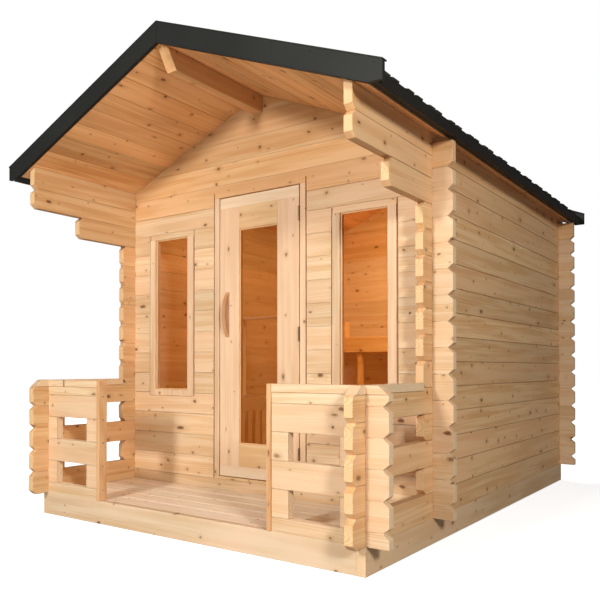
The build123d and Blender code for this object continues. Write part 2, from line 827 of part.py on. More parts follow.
with BuildPart() as window_glass:
    for sign in (-1, 1):
        pane_half = window_width / 2 - window_stile_width - 2 * log_gap
        with BuildSketch(Plane.XY.offset(window_bottom + window_sill_height + log_gap)):
            with Locations((sign * window_center, wall_y + window_glass_setback)):
                Rectangle(2 * pane_half, window_glass_thickness)
        extrude(amount=window_top - window_bottom - window_sill_height - 2 * log_gap)
save(window_glass.part, "window_glass")

# Bench across the back: slats on a frame with an apron in front
bench_front = back_y - log_thickness - bench_depth
slat_pitch = (bench_depth + bench_slat_gap) / bench_slat_count
with BuildPart() as bench_slats:
    with BuildSketch(Plane.XY.offset(bench_height - bench_slat_thickness)):
        with Locations((0, bench_front + bench_depth / 2)):
            with GridLocations(1, slat_pitch, 1, bench_slat_count):
                Rectangle(2 * (inner_x - log_gap), slat_pitch - bench_slat_gap)
    extrude(amount=bench_slat_thickness)
save(bench_slats.part, "bench_slats")

with BuildPart() as bench_frame:
    apron_top = bench_height - bench_slat_thickness - log_gap
    with BuildSketch(Plane.XY.offset(apron_top - bench_apron_height)):
        with Locations((0, bench_front + bench_apron_thickness / 2)):
            Rectangle(2 * (inner_x - log_gap), bench_apron_thickness)
        wall_bearer_spacing = 2 * (inner_x - log_gap) - bench_post_width
        with Locations((0, (bench_front + back_y - log_thickness - log_gap) / 2)):
            with GridLocations(bench_post_spacing, 1, 2, 1):
                Rectangle(bench_post_width, bench_depth - 2 * log_gap)
            with GridLocations(wall_bearer_spacing, 1, 2, 1):
                Rectangle(bench_post_width, bench_depth - 2 * log_gap)
    extrude(amount=bench_apron_height)
    with BuildSketch(Plane.XY.offset(floor_top)):
        with Locations((0, bench_front + bench_apron_thickness + bench_post_width / 2)):
            with GridLocations(bench_post_spacing, 1, 2, 1):
                Rectangle(bench_post_width, bench_post_width)
    extrude(amount=apron_top - floor_top)
    with BuildSketch(Plane.XY.offset(bench_height)):
        with Locations((bench_arm_center, bench_front + bench_arm_depth / 2)):
            Rectangle(bench_arm_width, bench_arm_depth)
    extrude(amount=bench_arm_height)
save(bench_frame.part, "bench_frame")

# Rail at the end of the bench side, on posts from the floor
with BuildPart() as bench_end_rail:
    rail_y = wall_y + back_rail_setback
    rail_end = -inner_x + back_rail_reach
    with BuildSketch(Plane.XY.offset(back_rail_height - back_rail_thickness)):
        with Locations(((-inner_x + rail_end) / 2, rail_y)):
            Rectangle(back_rail_reach - log_gap, back_rail_width)
    extrude(amount=back_rail_thickness)
    with BuildSketch(Plane.XY.offset(floor_top)):
        for x in (-inner_x + back_rail_post, rail_end - back_rail_post):
            with Locations((x, rail_y)):
                Rectangle(back_rail_post, back_rail_post)
    extrude(amount=back_rail_height - back_rail_thickness - floor_top)
save(bench_end_rail.part, "bench_end_rail")

# Slatted guard round the heater corner
with BuildPart() as heater_guard:
    guard_x = -inner_x + guard_offset
    guard_start = wall_y + log_thickness + log_gap
    guard_end = guard_start + guard_length
    rail_low = guard_height - guard_rail_height
    with BuildSketch(Plane.XY.offset(rail_low)):
        with Locations((guard_x - guard_rail_thickness / 2, (guard_start + guard_end) / 2)):
            Rectangle(guard_rail_thickness, guard_length)
        with Locations(((-inner_x + log_gap + guard_x) / 2, guard_end - guard_rail_thickness / 2)):
            Rectangle(guard_offset - log_gap, guard_rail_thickness)
    extrude(amount=guard_rail_height)
    guard_pitch = guard_slat_width + guard_slat_gap
    with BuildSketch(Plane.XY.offset(floor_top)):
        slats = int(guard_length / guard_pitch)
        with Locations((guard_x - guard_rail_thickness / 2, (guard_start + guard_end) / 2)):
            with GridLocations(1, guard_pitch, 1, slats):
                Rectangle(guard_slat_thickness, guard_slat_width)
        slats = int(guard_offset / guard_pitch) - 1
        with Locations(((-inner_x + guard_x) / 2, guard_end - guard_rail_thickness / 2)):
            with GridLocations(guard_pitch, 1, slats, 1):
                Rectangle(guard_slat_width, guard_slat_thickness)
    extrude(amount=rail_low - floor_top)
save(heater_guard.part, "heater_guard")
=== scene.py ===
"""Looks for a log sauna cabin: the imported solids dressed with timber, shingle, metal and glass."""

import logging
import math
from collections import defaultdict
from dataclasses import dataclass, field
from enum import Enum
from random import Random
from typing import Iterable, Sequence, Union

import bmesh
import bpy
from mathutils import Matrix, Vector


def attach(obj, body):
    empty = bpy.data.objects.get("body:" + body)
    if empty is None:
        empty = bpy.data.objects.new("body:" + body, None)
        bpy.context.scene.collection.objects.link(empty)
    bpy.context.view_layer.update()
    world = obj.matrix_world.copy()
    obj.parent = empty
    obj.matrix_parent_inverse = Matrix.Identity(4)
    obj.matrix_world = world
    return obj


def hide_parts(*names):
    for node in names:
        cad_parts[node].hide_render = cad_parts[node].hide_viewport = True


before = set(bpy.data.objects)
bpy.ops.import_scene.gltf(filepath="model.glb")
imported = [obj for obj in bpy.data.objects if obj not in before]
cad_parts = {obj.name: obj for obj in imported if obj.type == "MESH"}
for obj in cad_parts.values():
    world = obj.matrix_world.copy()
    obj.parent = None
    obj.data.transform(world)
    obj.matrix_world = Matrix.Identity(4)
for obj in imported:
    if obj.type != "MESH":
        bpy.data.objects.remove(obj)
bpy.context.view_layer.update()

LOG = logging.getLogger("cabin")
CABIN = "cabin"
DOOR = "door"

Pair = tuple[float, float]
Colour = tuple[float, float, float]
Place = Sequence[float]
Piece = bpy.types.Object
Finish = bpy.types.Material
Socket = bpy.types.NodeSocket
Value = Union[float, Colour, Socket, None]

# Places that several sub-assemblies share, in metres
SILL_TOP = 0.137
SEAM_OFFSET = 0.070
FRONT_Y = -1.691
WALL_Y = -0.947
LOG_THICK = 0.045
PLATE_SEAM = 2.080
GABLE_SEAM = 2.010
SLOPE = math.radians(22.5)
SECANT = 1 / math.cos(SLOPE)
RIDGE_UNDER = 2.6867
ROOF_START = -1.825
ROOF_END = 1.825
TRIM_FACE = 0.0225

# Corners are merged on a grid of this many steps to the metre
MERGE_STEPS = 50000
# An edge is eased where it turns more than this and is over this many widths long
SHARP_EDGE = math.radians(62)
EASED_LENGTH = 3.5
# Faces that meet at less than this angle become one face
FLAT_JOIN = math.radians(0.3)


class Axis(Enum):
    """Direction of the grain, or across boards, in the shared frame."""

    X = 0
    Y = 1
    Z = 2

    @property
    def unit(self) -> Colour:
        """Unit vector of the axis."""
        return tuple(1.0 if i == self.value else 0.0 for i in range(3))


# ---------------------------------------------------------------- node sheets


class Sheet:
    """A material's node tree, with short calls for the nodes that the finishes use."""

    def __init__(self, name: str) -> None:
        """Start a material with its output, principled shader and coordinates.

        Args:
            name: Name of the material.
        """
        self.material = bpy.data.materials.new(name)
        self.material.use_nodes = True
        self.tree = self.material.node_tree
        self.tree.nodes.clear()
        self.out = self.tree.nodes.new("ShaderNodeOutputMaterial")
        self.shader = self.tree.nodes.new("ShaderNodeBsdfPrincipled")
        self.tree.links.new(self.shader.outputs[0], self.out.inputs[0])
        self.texco = self.tree.nodes.new("ShaderNodeTexCoord")
        self.place = self.texco.outputs["Object"]

    def put(self, value: Value, socket: Socket) -> None:
        """Link a socket, or set a plain value, on an input socket.

        Args:
            value: An output socket, a number or vector, or None to leave the input as it is.
            socket: The input socket.
        """
        if isinstance(value, Socket):
            self.tree.links.new(value, socket)
        elif value is not None:
            socket.default_value = value

    def math(self, op: str, a: Value, b: Value = None, c: Value = None,
             clamp: bool = False) -> Socket:
        """Add a scalar math node.

        Args:
            op: Name of the operation.
            a: First value or socket.
            b: Second value or socket.
            c: Third value or socket.
            clamp: Whether the result is kept within 0 and 1.

        Returns:
            The output socket.
        """
        node = self.tree.nodes.new("ShaderNodeMath")
        node.operation = op
        node.use_clamp = clamp
        for value, socket in zip((a, b, c), node.inputs):
            self.put(value, socket)
        return node.outputs[0]

    def times(self, a: Value, b: Value) -> Socket:
        """Product of two values."""
        return self.math("MULTIPLY", a, b)

    def plus(self, a: Value, b: Value) -> Socket:
        """Sum of two values."""
        return self.math("ADD", a, b)

    def minus(self, a: Value, b: Value) -> Socket:
        """First value less the second."""
        return self.math("SUBTRACT", a, b)

    def fused(self, a: Value, b: Value, c: Value) -> Socket:
        """Product of the first two values plus the third."""
        return self.math("MULTIPLY_ADD", a, b, c)

    def floor_of(self, value: Value, rate: float) -> Socket:
        """Whole number of steps in a place, at a rate to the metre."""
        return self.math("FLOOR", self.times(value, rate))

    def vmath(self, op: str, a: Value, b: Value) -> Socket:
        """Add a vector math node.

        Args:
            op: Name of the operation.
            a: First vector or socket.
            b: Second vector or socket.

        Returns:
            The vector output.
        """
        node = self.tree.nodes.new("ShaderNodeVectorMath")
        node.operation = op
        self.put(a, node.inputs[0])
        self.put(b, node.inputs[1])
        return node.outputs[0]

    def xyz(self, vector: Value) -> list[Socket]:
        """Split a vector.

        Args:
            vector: A vector socket.

        Returns:
            The sockets of its three parts.
        """
        node = self.tree.nodes.new("ShaderNodeSeparateXYZ")
        self.put(vector, node.inputs[0])
        return list(node.outputs)

    def vector(self, x: Value, y: Value, z: Value) -> Socket:
        """Make a vector.

        Args:
            x: First part.
            y: Second part.
            z: Third part.

        Returns:
            The vector socket.
        """
        node = self.tree.nodes.new("ShaderNodeCombineXYZ")
        for value, socket in zip((x, y, z), node.inputs):
            self.put(value, socket)
        return node.outputs[0]

    def noise(self, vector: Value, scale: float, detail: float = 2.0,
              rough: float = 0.5) -> Socket:
        """Add a noise.

        Args:
            vector: Where it is read.
            scale: Its scale.
            detail: Its octaves.
            rough: How strong the finer octaves are.

        Returns:
            A value between 0 and 1.
        """
        node = self.tree.nodes.new("ShaderNodeTexNoise")
        self.put(vector, node.inputs["Vector"])
        node.inputs["Scale"].default_value = scale
        node.inputs["Detail"].default_value = detail
        node.inputs["Roughness"].default_value = rough
        return node.outputs[0]

    def white(self, vector: Value) -> list[Socket]:
        """Draw three values for a vector of whole numbers.

        Args:
            vector: The whole numbers.

        Returns:
            Three sockets between 0 and 1.
        """
        node = self.tree.nodes.new("ShaderNodeTexWhiteNoise")
        node.noise_dimensions = "3D"
        self.put(vector, node.inputs["Vector"])
        return self.xyz(node.outputs["Color"])

    def cells(self, vector: Value) -> tuple[Socket, Socket]:
        """Scatter points, one to a cell of size 1.

        Args:
            vector: Where they are read.

        Returns:
            The place of the nearest point, and its random colour.
        """
        node = self.tree.nodes.new("ShaderNodeTexVoronoi")
        self.put(vector, node.inputs["Vector"])
        node.inputs["Scale"].default_value = 1.0
        return node.outputs["Position"], node.outputs["Color"]

    def ramp(self, value: Value, low: float, high: float) -> Socket:
        """Add a smooth step.

        Args:
            value: The value read.
            low: Where the step is 0.
            high: Where it is 1.

        Returns:
            The step's socket.
        """
        node = self.tree.nodes.new("ShaderNodeMapRange")
        node.interpolation_type = "SMOOTHSTEP"
        self.put(value, node.inputs["Value"])
        node.inputs["From Min"].default_value = low
        node.inputs["From Max"].default_value = high
        return node.outputs[0]

    def mix(self, factor: Value, a: Value, b: Value, blend: str = "MIX") -> Socket:
        """Mix two colours.

        Args:
            factor: Share of the second colour.
            a: First colour or socket.
            b: Second colour or socket.
            blend: How they are mixed.

        Returns:
            The mixed colour.
        """
        node = self.tree.nodes.new("ShaderNodeMix")
        node.data_type = "RGBA"
        node.blend_type = blend
        self.put(factor, node.inputs[0])
        for value, socket in ((a, node.inputs[6]), (b, node.inputs[7])):
            self.put((*value, 1.0) if isinstance(value, tuple) else value, socket)
        return node.outputs[2]

    def shaded(self, colour: Socket, tone: Socket) -> Socket:
        """A colour times a grey tone."""
        return self.mix(1.0, colour, self.vector(tone, tone, tone), "MULTIPLY")

    def bump(self, height: Value, distance: float, strength: float) -> None:
        """Give the shader a bump.

        Args:
            height: Height socket between 0 and 1.
            distance: Depth of the bump, in metres.
            strength: Its strength.
        """
        node = self.tree.nodes.new("ShaderNodeBump")
        node.inputs["Strength"].default_value = strength
        node.inputs["Distance"].default_value = distance
        self.put(height, node.inputs["Height"])
        self.tree.links.new(node.outputs[0], self.shader.inputs["Normal"])

    def set(self, **sockets: Value) -> None:
        """Set or link the shader's inputs by name, with an underscore for each space."""
        for name, value in sockets.items():
            self.put(value, self.shader.inputs[name.replace("_", " ")])


def srgb(red: int, green: int, blue: int) -> Colour:
    """Turn a screen colour into a linear one.

    Args:
        red: Red, from 0 to 255.
        green: Green, from 0 to 255.
        blue: Blue, from 0 to 255.

    Returns:
        The linear colour.
    """
    return tuple(
        c / 12.92 if c <= 0.04045 else ((c + 0.055) / 1.055) ** 2.4
        for c in (red / 255, green / 255, blue / 255)
    )


def scaled(colour: Colour, factor: float) -> Colour:
    """A colour made lighter or darker."""
    return tuple(min(1.0, c * factor) for c in colour)


# ---------------------------------------------------------------- finishes


EARLY, LATE = srgb(228, 192, 146), srgb(206, 156, 103)
# Creamier copies of the log wood for the faces that the key light falls on: painted light.
PAINTED_LIT_EARLY, PAINTED_LIT_LATE = srgb(226, 201, 166), srgb(208, 169, 124)
# Creamier wood for the door and window joinery on the lit front: painted light.
PAINTED_LIT_CREAM, PAINTED_LIT_CREAM_LATE = srgb(230, 206, 174), srgb(204, 166, 124)
AMBER, AMBER_LATE = srgb(226, 178, 116), srgb(202, 146, 84)
KNOT = srgb(118, 68, 34)
# Colour of the light lines along the seams, which brighten the shaded grooves: painted light.
PAINTED_LIGHT_SEAM = (0.95, 0.72, 0.48)


@dataclass(frozen=True)
class Grain:
    """Sockets that the patterns of one timber read."""

    length: Socket
    width: Socket
    depth: Socket
    shift: Socket
    draws: Sequence[Socket]

    def stretched(self, s: Sheet, rates: Pair, shift: Value) -> Socket:
        """Find the place for a noise that is drawn out along the grain.

        Args:
            s: The sheet.
            rates: Steps to the metre along and across the grain.
            shift: Offset along the grain.

        Returns:
            The place.
        """
        along, across = rates
        return s.vector(s.fused(self.length, along, shift), s.times(self.width, across),
                        s.times(self.depth, across))


@dataclass(frozen=True)
class Timber:
    """Sawn softwood whose rings, knots and tone change from one log or board to the next.

    Rates are steps to the metre, a pair of them along and across the grain. Ramps are where a
    part of the pattern starts and where it is whole. Parts of a knot are in its own radii.
    """

    name: str
    along: Axis
    across: Axis
    pitch: float = 0.14
    start: float = 0.0
    steps: tuple[float, ...] = ()
    early: Colour = EARLY
    late: Colour = LATE
    seed: float = 0.0
    roughness: float = 0.55
    tone_spread: float = 0.20
    seam_dark: float = 0.0
    painted_light_seam: float = 0.0
    dark_seam_ramp: Pair = (0.0032, 0.0010)
    painted_light_seam_ramp: Pair = (0.0034, 0.0012)
    side_rate: float = 1.7
    board_shift: float = 37.0
    ring_width: float = 0.0055
    ring_power: float = 1.8
    ring_streaks: float = 1.6
    ring_bulge: float = 0.010
    bend_rate: float = 0.55
    bend_reach: float = 0.16
    pith_spread: float = 1.1
    pith_rate: float = 4.0
    pith_depth: float = 0.05
    pith_least: float = 0.012
    streak_rates: Pair = (0.9, 14.0)
    broad_rates: Pair = (1.3, 22.0)
    fine_rates: Pair = (7.0, 420.0)
    cloud_rates: Pair = (2.1, 5.0)
    broad_ramp: Pair = (0.38, 0.64)
    late_share: float = 0.50
    broad_share: float = 0.58
    fine_share: float = 0.20
    rosy: Colour = (1.04, 0.89, 0.86)
    rosy_ramp: Pair = (0.6, 1.1)
    rosy_share: float = 0.5
    knot_spacing: float = 0.21
    knot_row: float = 0.13
    knot_rate: float = 9.0
    knot_size: float = 0.0084
    knot_share: float = 0.80
    knot_spread: float = 1.2
    knot_least: float = 0.42
    knot_power: float = 2.4
    knot_floor: float = 0.0004
    oval_draw: float = 7.3
    oval_spread: float = 0.85
    oval_least: float = 0.12
    ragged_rate: float = 95.0
    ragged_spread: float = 1.3
    ragged_least: float = 0.42
    halo_ramp: Pair = (3.6, 0.9)
    core_ramp: Pair = (1.25, 0.70)
    rim_ramp: Pair = (0.90, 0.30)
    halo_share: float = 0.40
    core_spread: float = 0.50
    core_least: float = 0.30
    rim_share: float = 0.5
    end_ramp: Pair = (0.90, 0.97)
    end_share: float = 0.8
    end_rings: float = 0.6
    relief: float = 0.0006

    def board(self, s: Sheet, width: Socket) -> tuple[Socket, Socket, Socket]:
        """Number the boards across the grain.

        Args:
            s: The sheet.
            width: Place across the grain.

        Returns:
            The board's number, the middle of the board, and the distance to the nearest seam.
        """
        half = self.pitch * 0.5
        if self.steps:
            index = s.times(width, 0.0)
            gap = s.plus(index, 1.0)
            for step in self.steps:
                index = s.plus(index, s.math("GREATER_THAN", width, step))
                gap = s.math("MINIMUM", gap, s.math("ABSOLUTE", s.minus(width, step)))
            return index, s.fused(index, self.pitch, self.steps[0] - half), gap
        row = s.math("DIVIDE", s.minus(width, self.start), self.pitch)
        index = s.math("FLOOR", row)
        part = s.times(s.math("FRACT", row), self.pitch)
        gap = s.math("MINIMUM", part, s.minus(self.pitch, part))
        return index, s.fused(index, self.pitch, self.start + half), gap

    def radius(self, s: Sheet, g: Grain, middle: Socket) -> Socket:
        """Measure from a pith that lies beside the board and wanders along it.

        Args:
            s: The sheet.
            g: The grain.
            middle: Middle of the board.

        Returns:
            The distance from the pith.
        """
        _, r2, r3 = g.draws
        bend = s.noise(s.vector(s.fused(g.length, self.bend_rate, g.shift), r2, r3), 1.0, 1.0)
        wobble = s.times(s.minus(bend, 0.5), self.bend_reach)
        pith = s.fused(s.minus(r2, 0.5), self.pitch * self.pith_spread, middle)
        over = s.plus(s.minus(g.width, pith), wobble)
        near = s.math("FRACT", s.math("ABSOLUTE", s.times(g.depth, self.pith_rate)))
        under = s.fused(near, self.pith_depth, s.fused(r3, self.pith_depth, self.pith_least))
        return s.math("SQRT", s.plus(s.times(over, over), s.times(under, under)))

    def knots(self, s: Sheet, g: Grain) -> tuple[Socket, Socket, Socket, Socket]:
        """Scatter knots in stretched cells.

        Args:
            s: The sheet.
            g: The grain.

        Returns:
            The halo, the core and the rim of the nearest knot, and how dark it is.
        """
        along, across = 1.0 / self.knot_spacing, 1.0 / self.knot_row
        spot = s.vector(s.fused(g.length, along, g.shift), s.fused(g.width, across, g.draws[1]),
                        s.times(g.depth, self.knot_rate))
        cell, chance = s.cells(spot)
        away = s.xyz(s.vmath("SUBTRACT", spot, cell))
        ax = s.math("DIVIDE", away[0], along)
        aw = s.math("DIVIDE", away[1], across)
        size_draw, seen_draw, dark_draw = s.xyz(chance)
        oval = s.fused(s.math("FRACT", s.times(size_draw, self.oval_draw)), self.oval_spread,
                       self.oval_least)
        far = s.math("SQRT", s.plus(s.times(s.times(ax, ax), oval), s.times(aw, aw)))
        ragged = s.noise(s.place, self.ragged_rate)
        far = s.times(far, s.fused(ragged, self.ragged_spread, self.ragged_least))
        size = s.fused(s.math("POWER", size_draw, self.knot_power),
                       self.knot_size * self.knot_spread, self.knot_size * self.knot_least)
        size = s.times(size, s.math("LESS_THAN", seen_draw, self.knot_share))
        share = s.math("DIVIDE", far, s.math("MAXIMUM", size, self.knot_floor))
        core = s.ramp(share, *self.core_ramp)
        rim = s.times(core, s.ramp(share, *self.rim_ramp))
        dark = s.fused(dark_draw, self.core_spread, self.core_least)
        return s.ramp(share, *self.halo_ramp), core, rim, dark

    def seams(self, s: Sheet, colour: Socket, gap: Socket) -> Socket:
        """Draw the dark lines between the logs or boards, and the light lines along them that
        brighten the shaded grooves: painted light.

        Args:
            s: The sheet.
            colour: Colour of the wood.
            gap: Distance to the nearest seam.

        Returns:
            The colour with its seams.
        """
        # The dark line is the joint's own colour; the light line is painted light over the groove's
        # shade.
        for share, ramp, line in ((self.seam_dark, self.dark_seam_ramp, scaled(self.late, 0.30)),
                                  (self.painted_light_seam, self.painted_light_seam_ramp, PAINTED_LIGHT_SEAM)):
            if share:
                colour = s.mix(s.times(s.ramp(gap, *ramp), share), colour, line)
        return colour

    def build(self) -> Finish:
        """Make the material.

        Returns:
            The material, with its grain along the given axis of the shared frame.
        """
        s = Sheet(self.name)
        place = s.xyz(s.place)
        depth_axis = next(a for a in Axis if a not in (self.along, self.across))
        length, width, depth = (place[a.value] for a in (self.along, self.across, depth_axis))
        index, middle, gap = self.board(s, width)
        draws = s.white(s.vector(index, s.floor_of(depth, self.side_rate), self.seed))
        r1, _, r3 = draws
        g = Grain(length, width, depth, s.times(r1, self.board_shift), draws)
        radius = self.radius(s, g, middle)
        halo, core, rim, dark = self.knots(s, g)

        # Rings, pushed out round the knots, with fine and broad streaks over them
        streaks = s.noise(g.stretched(s, self.streak_rates, g.shift), 1.0, 3.0, 0.6)
        turned = s.math("DIVIDE", s.fused(halo, self.ring_bulge, radius), self.ring_width)
        phase = s.fused(streaks, self.ring_streaks, turned)
        wave = s.fused(s.math("SINE", s.times(phase, math.tau)), 0.5, 0.5)
        late = s.math("POWER", wave, self.ring_power)
        fine = s.noise(g.stretched(s, self.fine_rates, 0.0), 1.0)
        broad = s.noise(g.stretched(s, self.broad_rates, g.shift), 1.0)
        cloud = s.noise(s.vector(s.fused(length, self.cloud_rates[0], g.shift),
                                 s.times(width, self.cloud_rates[1]), r3), 1.0)

        amount = s.fused(late, self.late_share,
                         s.times(s.ramp(broad, *self.broad_ramp), self.broad_share))
        amount = s.math("MULTIPLY_ADD", fine, self.fine_share, amount, clamp=True)
        colour = s.mix(amount, self.early, self.late)
        colour = s.shaded(colour, s.fused(s.minus(r3, 0.5), self.tone_spread, 1.0))
        rosy = s.times(s.ramp(s.fused(r1, 0.6, cloud), *self.rosy_ramp), self.rosy_share)
        colour = s.mix(rosy, colour, tuple(c * k for c, k in zip(self.early, self.rosy)))
        colour = s.mix(s.times(halo, self.halo_share), colour, scaled(self.late, 0.88))
        colour = s.mix(s.times(core, dark), colour, KNOT)
        colour = s.mix(s.times(rim, self.rim_share), colour, scaled(KNOT, 0.40))

        # End grain shows on faces square to the log
        normal = s.xyz(s.texco.outputs["Normal"])[self.along.value]
        end = s.ramp(s.math("ABSOLUTE", normal), *self.end_ramp)
        rings = s.mix(s.times(late, self.end_rings), scaled(self.early, 1.05), self.late)
        colour = s.mix(s.times(end, self.end_share), colour, rings)
        s.set(Base_Color=self.seams(s, colour, gap), Specular_IOR_Level=0.3,
              Roughness=s.fused(late, -0.08, self.roughness))
        s.bump(s.fused(late, 0.5, s.times(fine, 0.5)), self.relief, 0.5)
        return s.material


@dataclass(frozen=True)
class MineralFelt:
    """Bitumen shingle with a face of fine mineral grains."""

    name: str
    dark: Colour
    light: Colour
    tab_rates: Pair = (8.0, 7.57)
    grain_rate: float = 420.0
    patch_rate: float = 9.0

    def build(self) -> Finish:
        """Make the material.

        Returns:
            The material, whose tone changes from one tab to the next.
        """
        s = Sheet(self.name)
        grains = s.noise(s.place, self.grain_rate, 3.0, 0.75)
        patches = s.noise(s.place, self.patch_rate)
        across, along, _ = s.xyz(s.place)
        tab = s.white(s.vector(s.floor_of(along, self.tab_rates[0]),
                               s.floor_of(across, self.tab_rates[1]), 2.0))[0]
        speck = s.times(s.ramp(grains, 0.42, 0.66), 0.75)
        shade = s.fused(tab, 0.70, s.fused(patches, 0.5, 0.4))
        s.set(Base_Color=s.shaded(s.mix(speck, self.dark, self.light), shade), Roughness=0.92,
              Specular_IOR_Level=0.25)
        s.bump(grains, 0.0012, 0.8)
        return s.material


@dataclass(frozen=True)
class CoatedSheet:
    """Folded sheet metal with a dull baked coat."""

    name: str
    colour: Colour
    roughness: float
    cloud_rate: float = 2.2
    peel_rate: float = 900.0

    def build(self) -> Finish:
        """Make the material.

        Returns:
            The material, faintly clouded and with the coat's own fine peel.
        """
        s = Sheet(self.name)
        cloud = s.noise(s.place, self.cloud_rate, 3.0)
        peel = s.noise(s.place, self.peel_rate, 1.0)
        colour = s.mix(s.ramp(cloud, 0.3, 0.75), scaled(self.colour, 0.86),
                       scaled(self.colour, 1.16))
        s.set(Base_Color=colour, Roughness=s.fused(cloud, 0.12, self.roughness),
              Specular_IOR_Level=0.30)
        s.bump(peel, 0.0002, 0.15)
        return s.material


@dataclass(frozen=True)
class PlatedSteel:
    """Plated steel with a faint rolled grain."""

    name: str
    colour: Colour
    grain_rates: Colour = (900.0, 900.0, 60.0)

    def build(self) -> Finish:
        """Make the material.

        Returns:
            The material, whose grain runs upright.
        """
        s = Sheet(self.name)
        grain = s.noise(s.vmath("MULTIPLY", s.place, self.grain_rates), 1.0)
        s.set(Base_Color=s.mix(grain, scaled(self.colour, 0.8), self.colour), Metallic=1.0,
              Roughness=s.fused(grain, 0.2, 0.42))
        s.bump(grain, 0.0001, 0.2)
        return s.material


@dataclass(frozen=True)
class TintedPane:
    """Toughened glass with a bronze tint, clear enough to show the room."""

    name: str
    cover: float
    tint: Colour = srgb(128, 64, 0)
    haze_rate: float = 3.0

    def build(self) -> Finish:
        """Make the material.

        Returns:
            The material, which covers what lies behind it in part.
        """
        s = Sheet(self.name)
        haze = s.noise(s.place, self.haze_rate)
        s.set(Base_Color=s.mix(haze, scaled(self.tint, 0.85), self.tint), IOR=1.45,
              Roughness=s.fused(haze, 0.02, 0.02), Alpha=self.cover, Specular_IOR_Level=0.35)
        return s.material


# ---------------------------------------------------------------- modelling helpers


def clear_selection() -> None:
    """Leave edit mode and deselect everything."""
    if bpy.context.object and bpy.context.object.mode != "OBJECT":
        bpy.ops.object.mode_set(mode="OBJECT")
    bpy.ops.object.select_all(action="DESELECT")


def take(piece: Piece) -> None:
    """Select one piece alone and make it active.

    Args:
        piece: The piece.
    """
    clear_selection()
    bpy.context.view_layer.objects.active = piece
    piece.select_set(True)


def settle(piece: Piece) -> None:
    """Put a piece's place, turn and scale into its mesh."""
    take(piece)
    bpy.ops.object.transform_apply(location=True, rotation=True, scale=True)


def ease_edges(piece: Piece, width: float) -> None:
    """Ease the sharp outward edges of a piece, as with a plane.

    Args:
        piece: The piece.
        width: Width of the eased edge, in metres.
    """
    take(piece)
    bpy.ops.object.mode_set(mode="EDIT")
    bpy.ops.mesh.select_mode(type="EDGE")
    bpy.ops.mesh.select_all(action="DESELECT")
    mesh = bmesh.from_edit_mesh(piece.data)
    for edge in mesh.edges:
        if edge.is_manifold and edge.is_convex and edge.calc_length() > width * EASED_LENGTH:
            edge.select = edge.calc_face_angle() > SHARP_EDGE
    bmesh.update_edit_mesh(piece.data)
    bpy.ops.mesh.bevel(offset=width, segments=1, affect="EDGES", clamp_overlap=False)
    bpy.ops.object.mode_set(mode="OBJECT")


def block(name: str, low: Place, high: Place, ease: float) -> Piece:
    """Model a box between two corners with eased edges.

    Args:
        name: Name of the piece.
        low: Lowest corner, in metres.
        high: Highest corner, in metres.
        ease: Width of the eased edges, in metres.

    Returns:
        The finished object.
    """
    clear_selection()
    low, high = Vector(low), Vector(high)
    bpy.ops.mesh.primitive_cube_add(size=1.0, location=(low + high) / 2)
    piece = bpy.context.object
    piece.name = piece.data.name = name
    piece.scale = high - low
    settle(piece)
    ease_edges(piece, ease)
    return piece


def bar(name: str, outline: Sequence[Pair], along: Axis, start: float, end: float,
        ease: float = 0.0) -> Piece:
    """Push a bar out of a flat outline with extrude.

    Args:
        name: Name of the piece.
        outline: Corners in the two axes other than the bar's own, in their order.
        along: Axis along which the bar runs.
        start: Place of the first end.
        end: Place of the other end.
        ease: Width of the eased edges, in metres, or 0 to leave them sharp.

    Returns:
        The finished object.
    """
    clear_selection()
    bpy.ops.mesh.primitive_circle_add(vertices=len(outline), radius=1.0, fill_type="NGON")
    piece = bpy.context.object
    piece.name = piece.data.name = name
    others = [a.value for a in Axis if a is not along]
    for vertex, corner in zip(piece.data.vertices, outline):
        spot = [0.0, 0.0, 0.0]
        spot[along.value] = start
        spot[others[0]], spot[others[1]] = corner
        vertex.co = spot
    settle(piece)
    bpy.ops.object.mode_set(mode="EDIT")
    bpy.ops.mesh.select_all(action="SELECT")
    bpy.ops.mesh.extrude_region_move(
        TRANSFORM_OT_translate={"value": tuple((end - start) * c for c in along.unit)})
    bpy.ops.mesh.select_all(action="SELECT")
    bpy.ops.mesh.normals_make_consistent(inside=False)
    bpy.ops.object.mode_set(mode="OBJECT")
    if ease > 0:
        ease_edges(piece, ease)
    return piece


def copy_of(piece: Piece, name: str, matrix: Matrix) -> Piece:
    """Copy a piece with its own mesh, moved or turned in its mesh.

    Args:
        piece: The piece to copy.
        name: Name of the copy.
        matrix: How its mesh is moved.

    Returns:
        The copy.
    """
    twin = piece.copy()
    twin.data = piece.data.copy()
    twin.name = twin.data.name = name
    bpy.context.scene.collection.objects.link(twin)
    twin.data.transform(matrix)
    return twin


def joined(pieces: Sequence[Piece], name: str) -> Piece:
    """Make one object of several.

    Args:
        pieces: The objects.
        name: Name of the whole.

    Returns:
        The joined object.
    """
    take(pieces[0])
    for piece in pieces:
        piece.select_set(True)
    bpy.ops.object.join()
    whole = bpy.context.object
    whole.name = whole.data.name = name
    return whole


def dress(piece: Piece, finish: Finish, body: str = CABIN,
          instead_of: Sequence[str] = (), smooth: float = 0.0) -> None:
    """Give a new piece its finish and body.

    Args:
        piece: The finished mesh object.
        finish: Its material.
        body: Body that it moves with.
        instead_of: CAD nodes that it stands for.
        smooth: Angle in degrees under which faces are shaded smooth, or 0 for flat ones.
    """
    piece.data.materials.clear()
    piece.data.materials.append(finish)
    if smooth:
        take(piece)
        bpy.ops.object.shade_smooth_by_angle(angle=math.radians(smooth))
    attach(piece, body)
    nodes = list(instead_of)
    if nodes:
        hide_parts(*nodes)
    LOG.info("piece %s: %d faces", piece.name, len(piece.data.polygons))


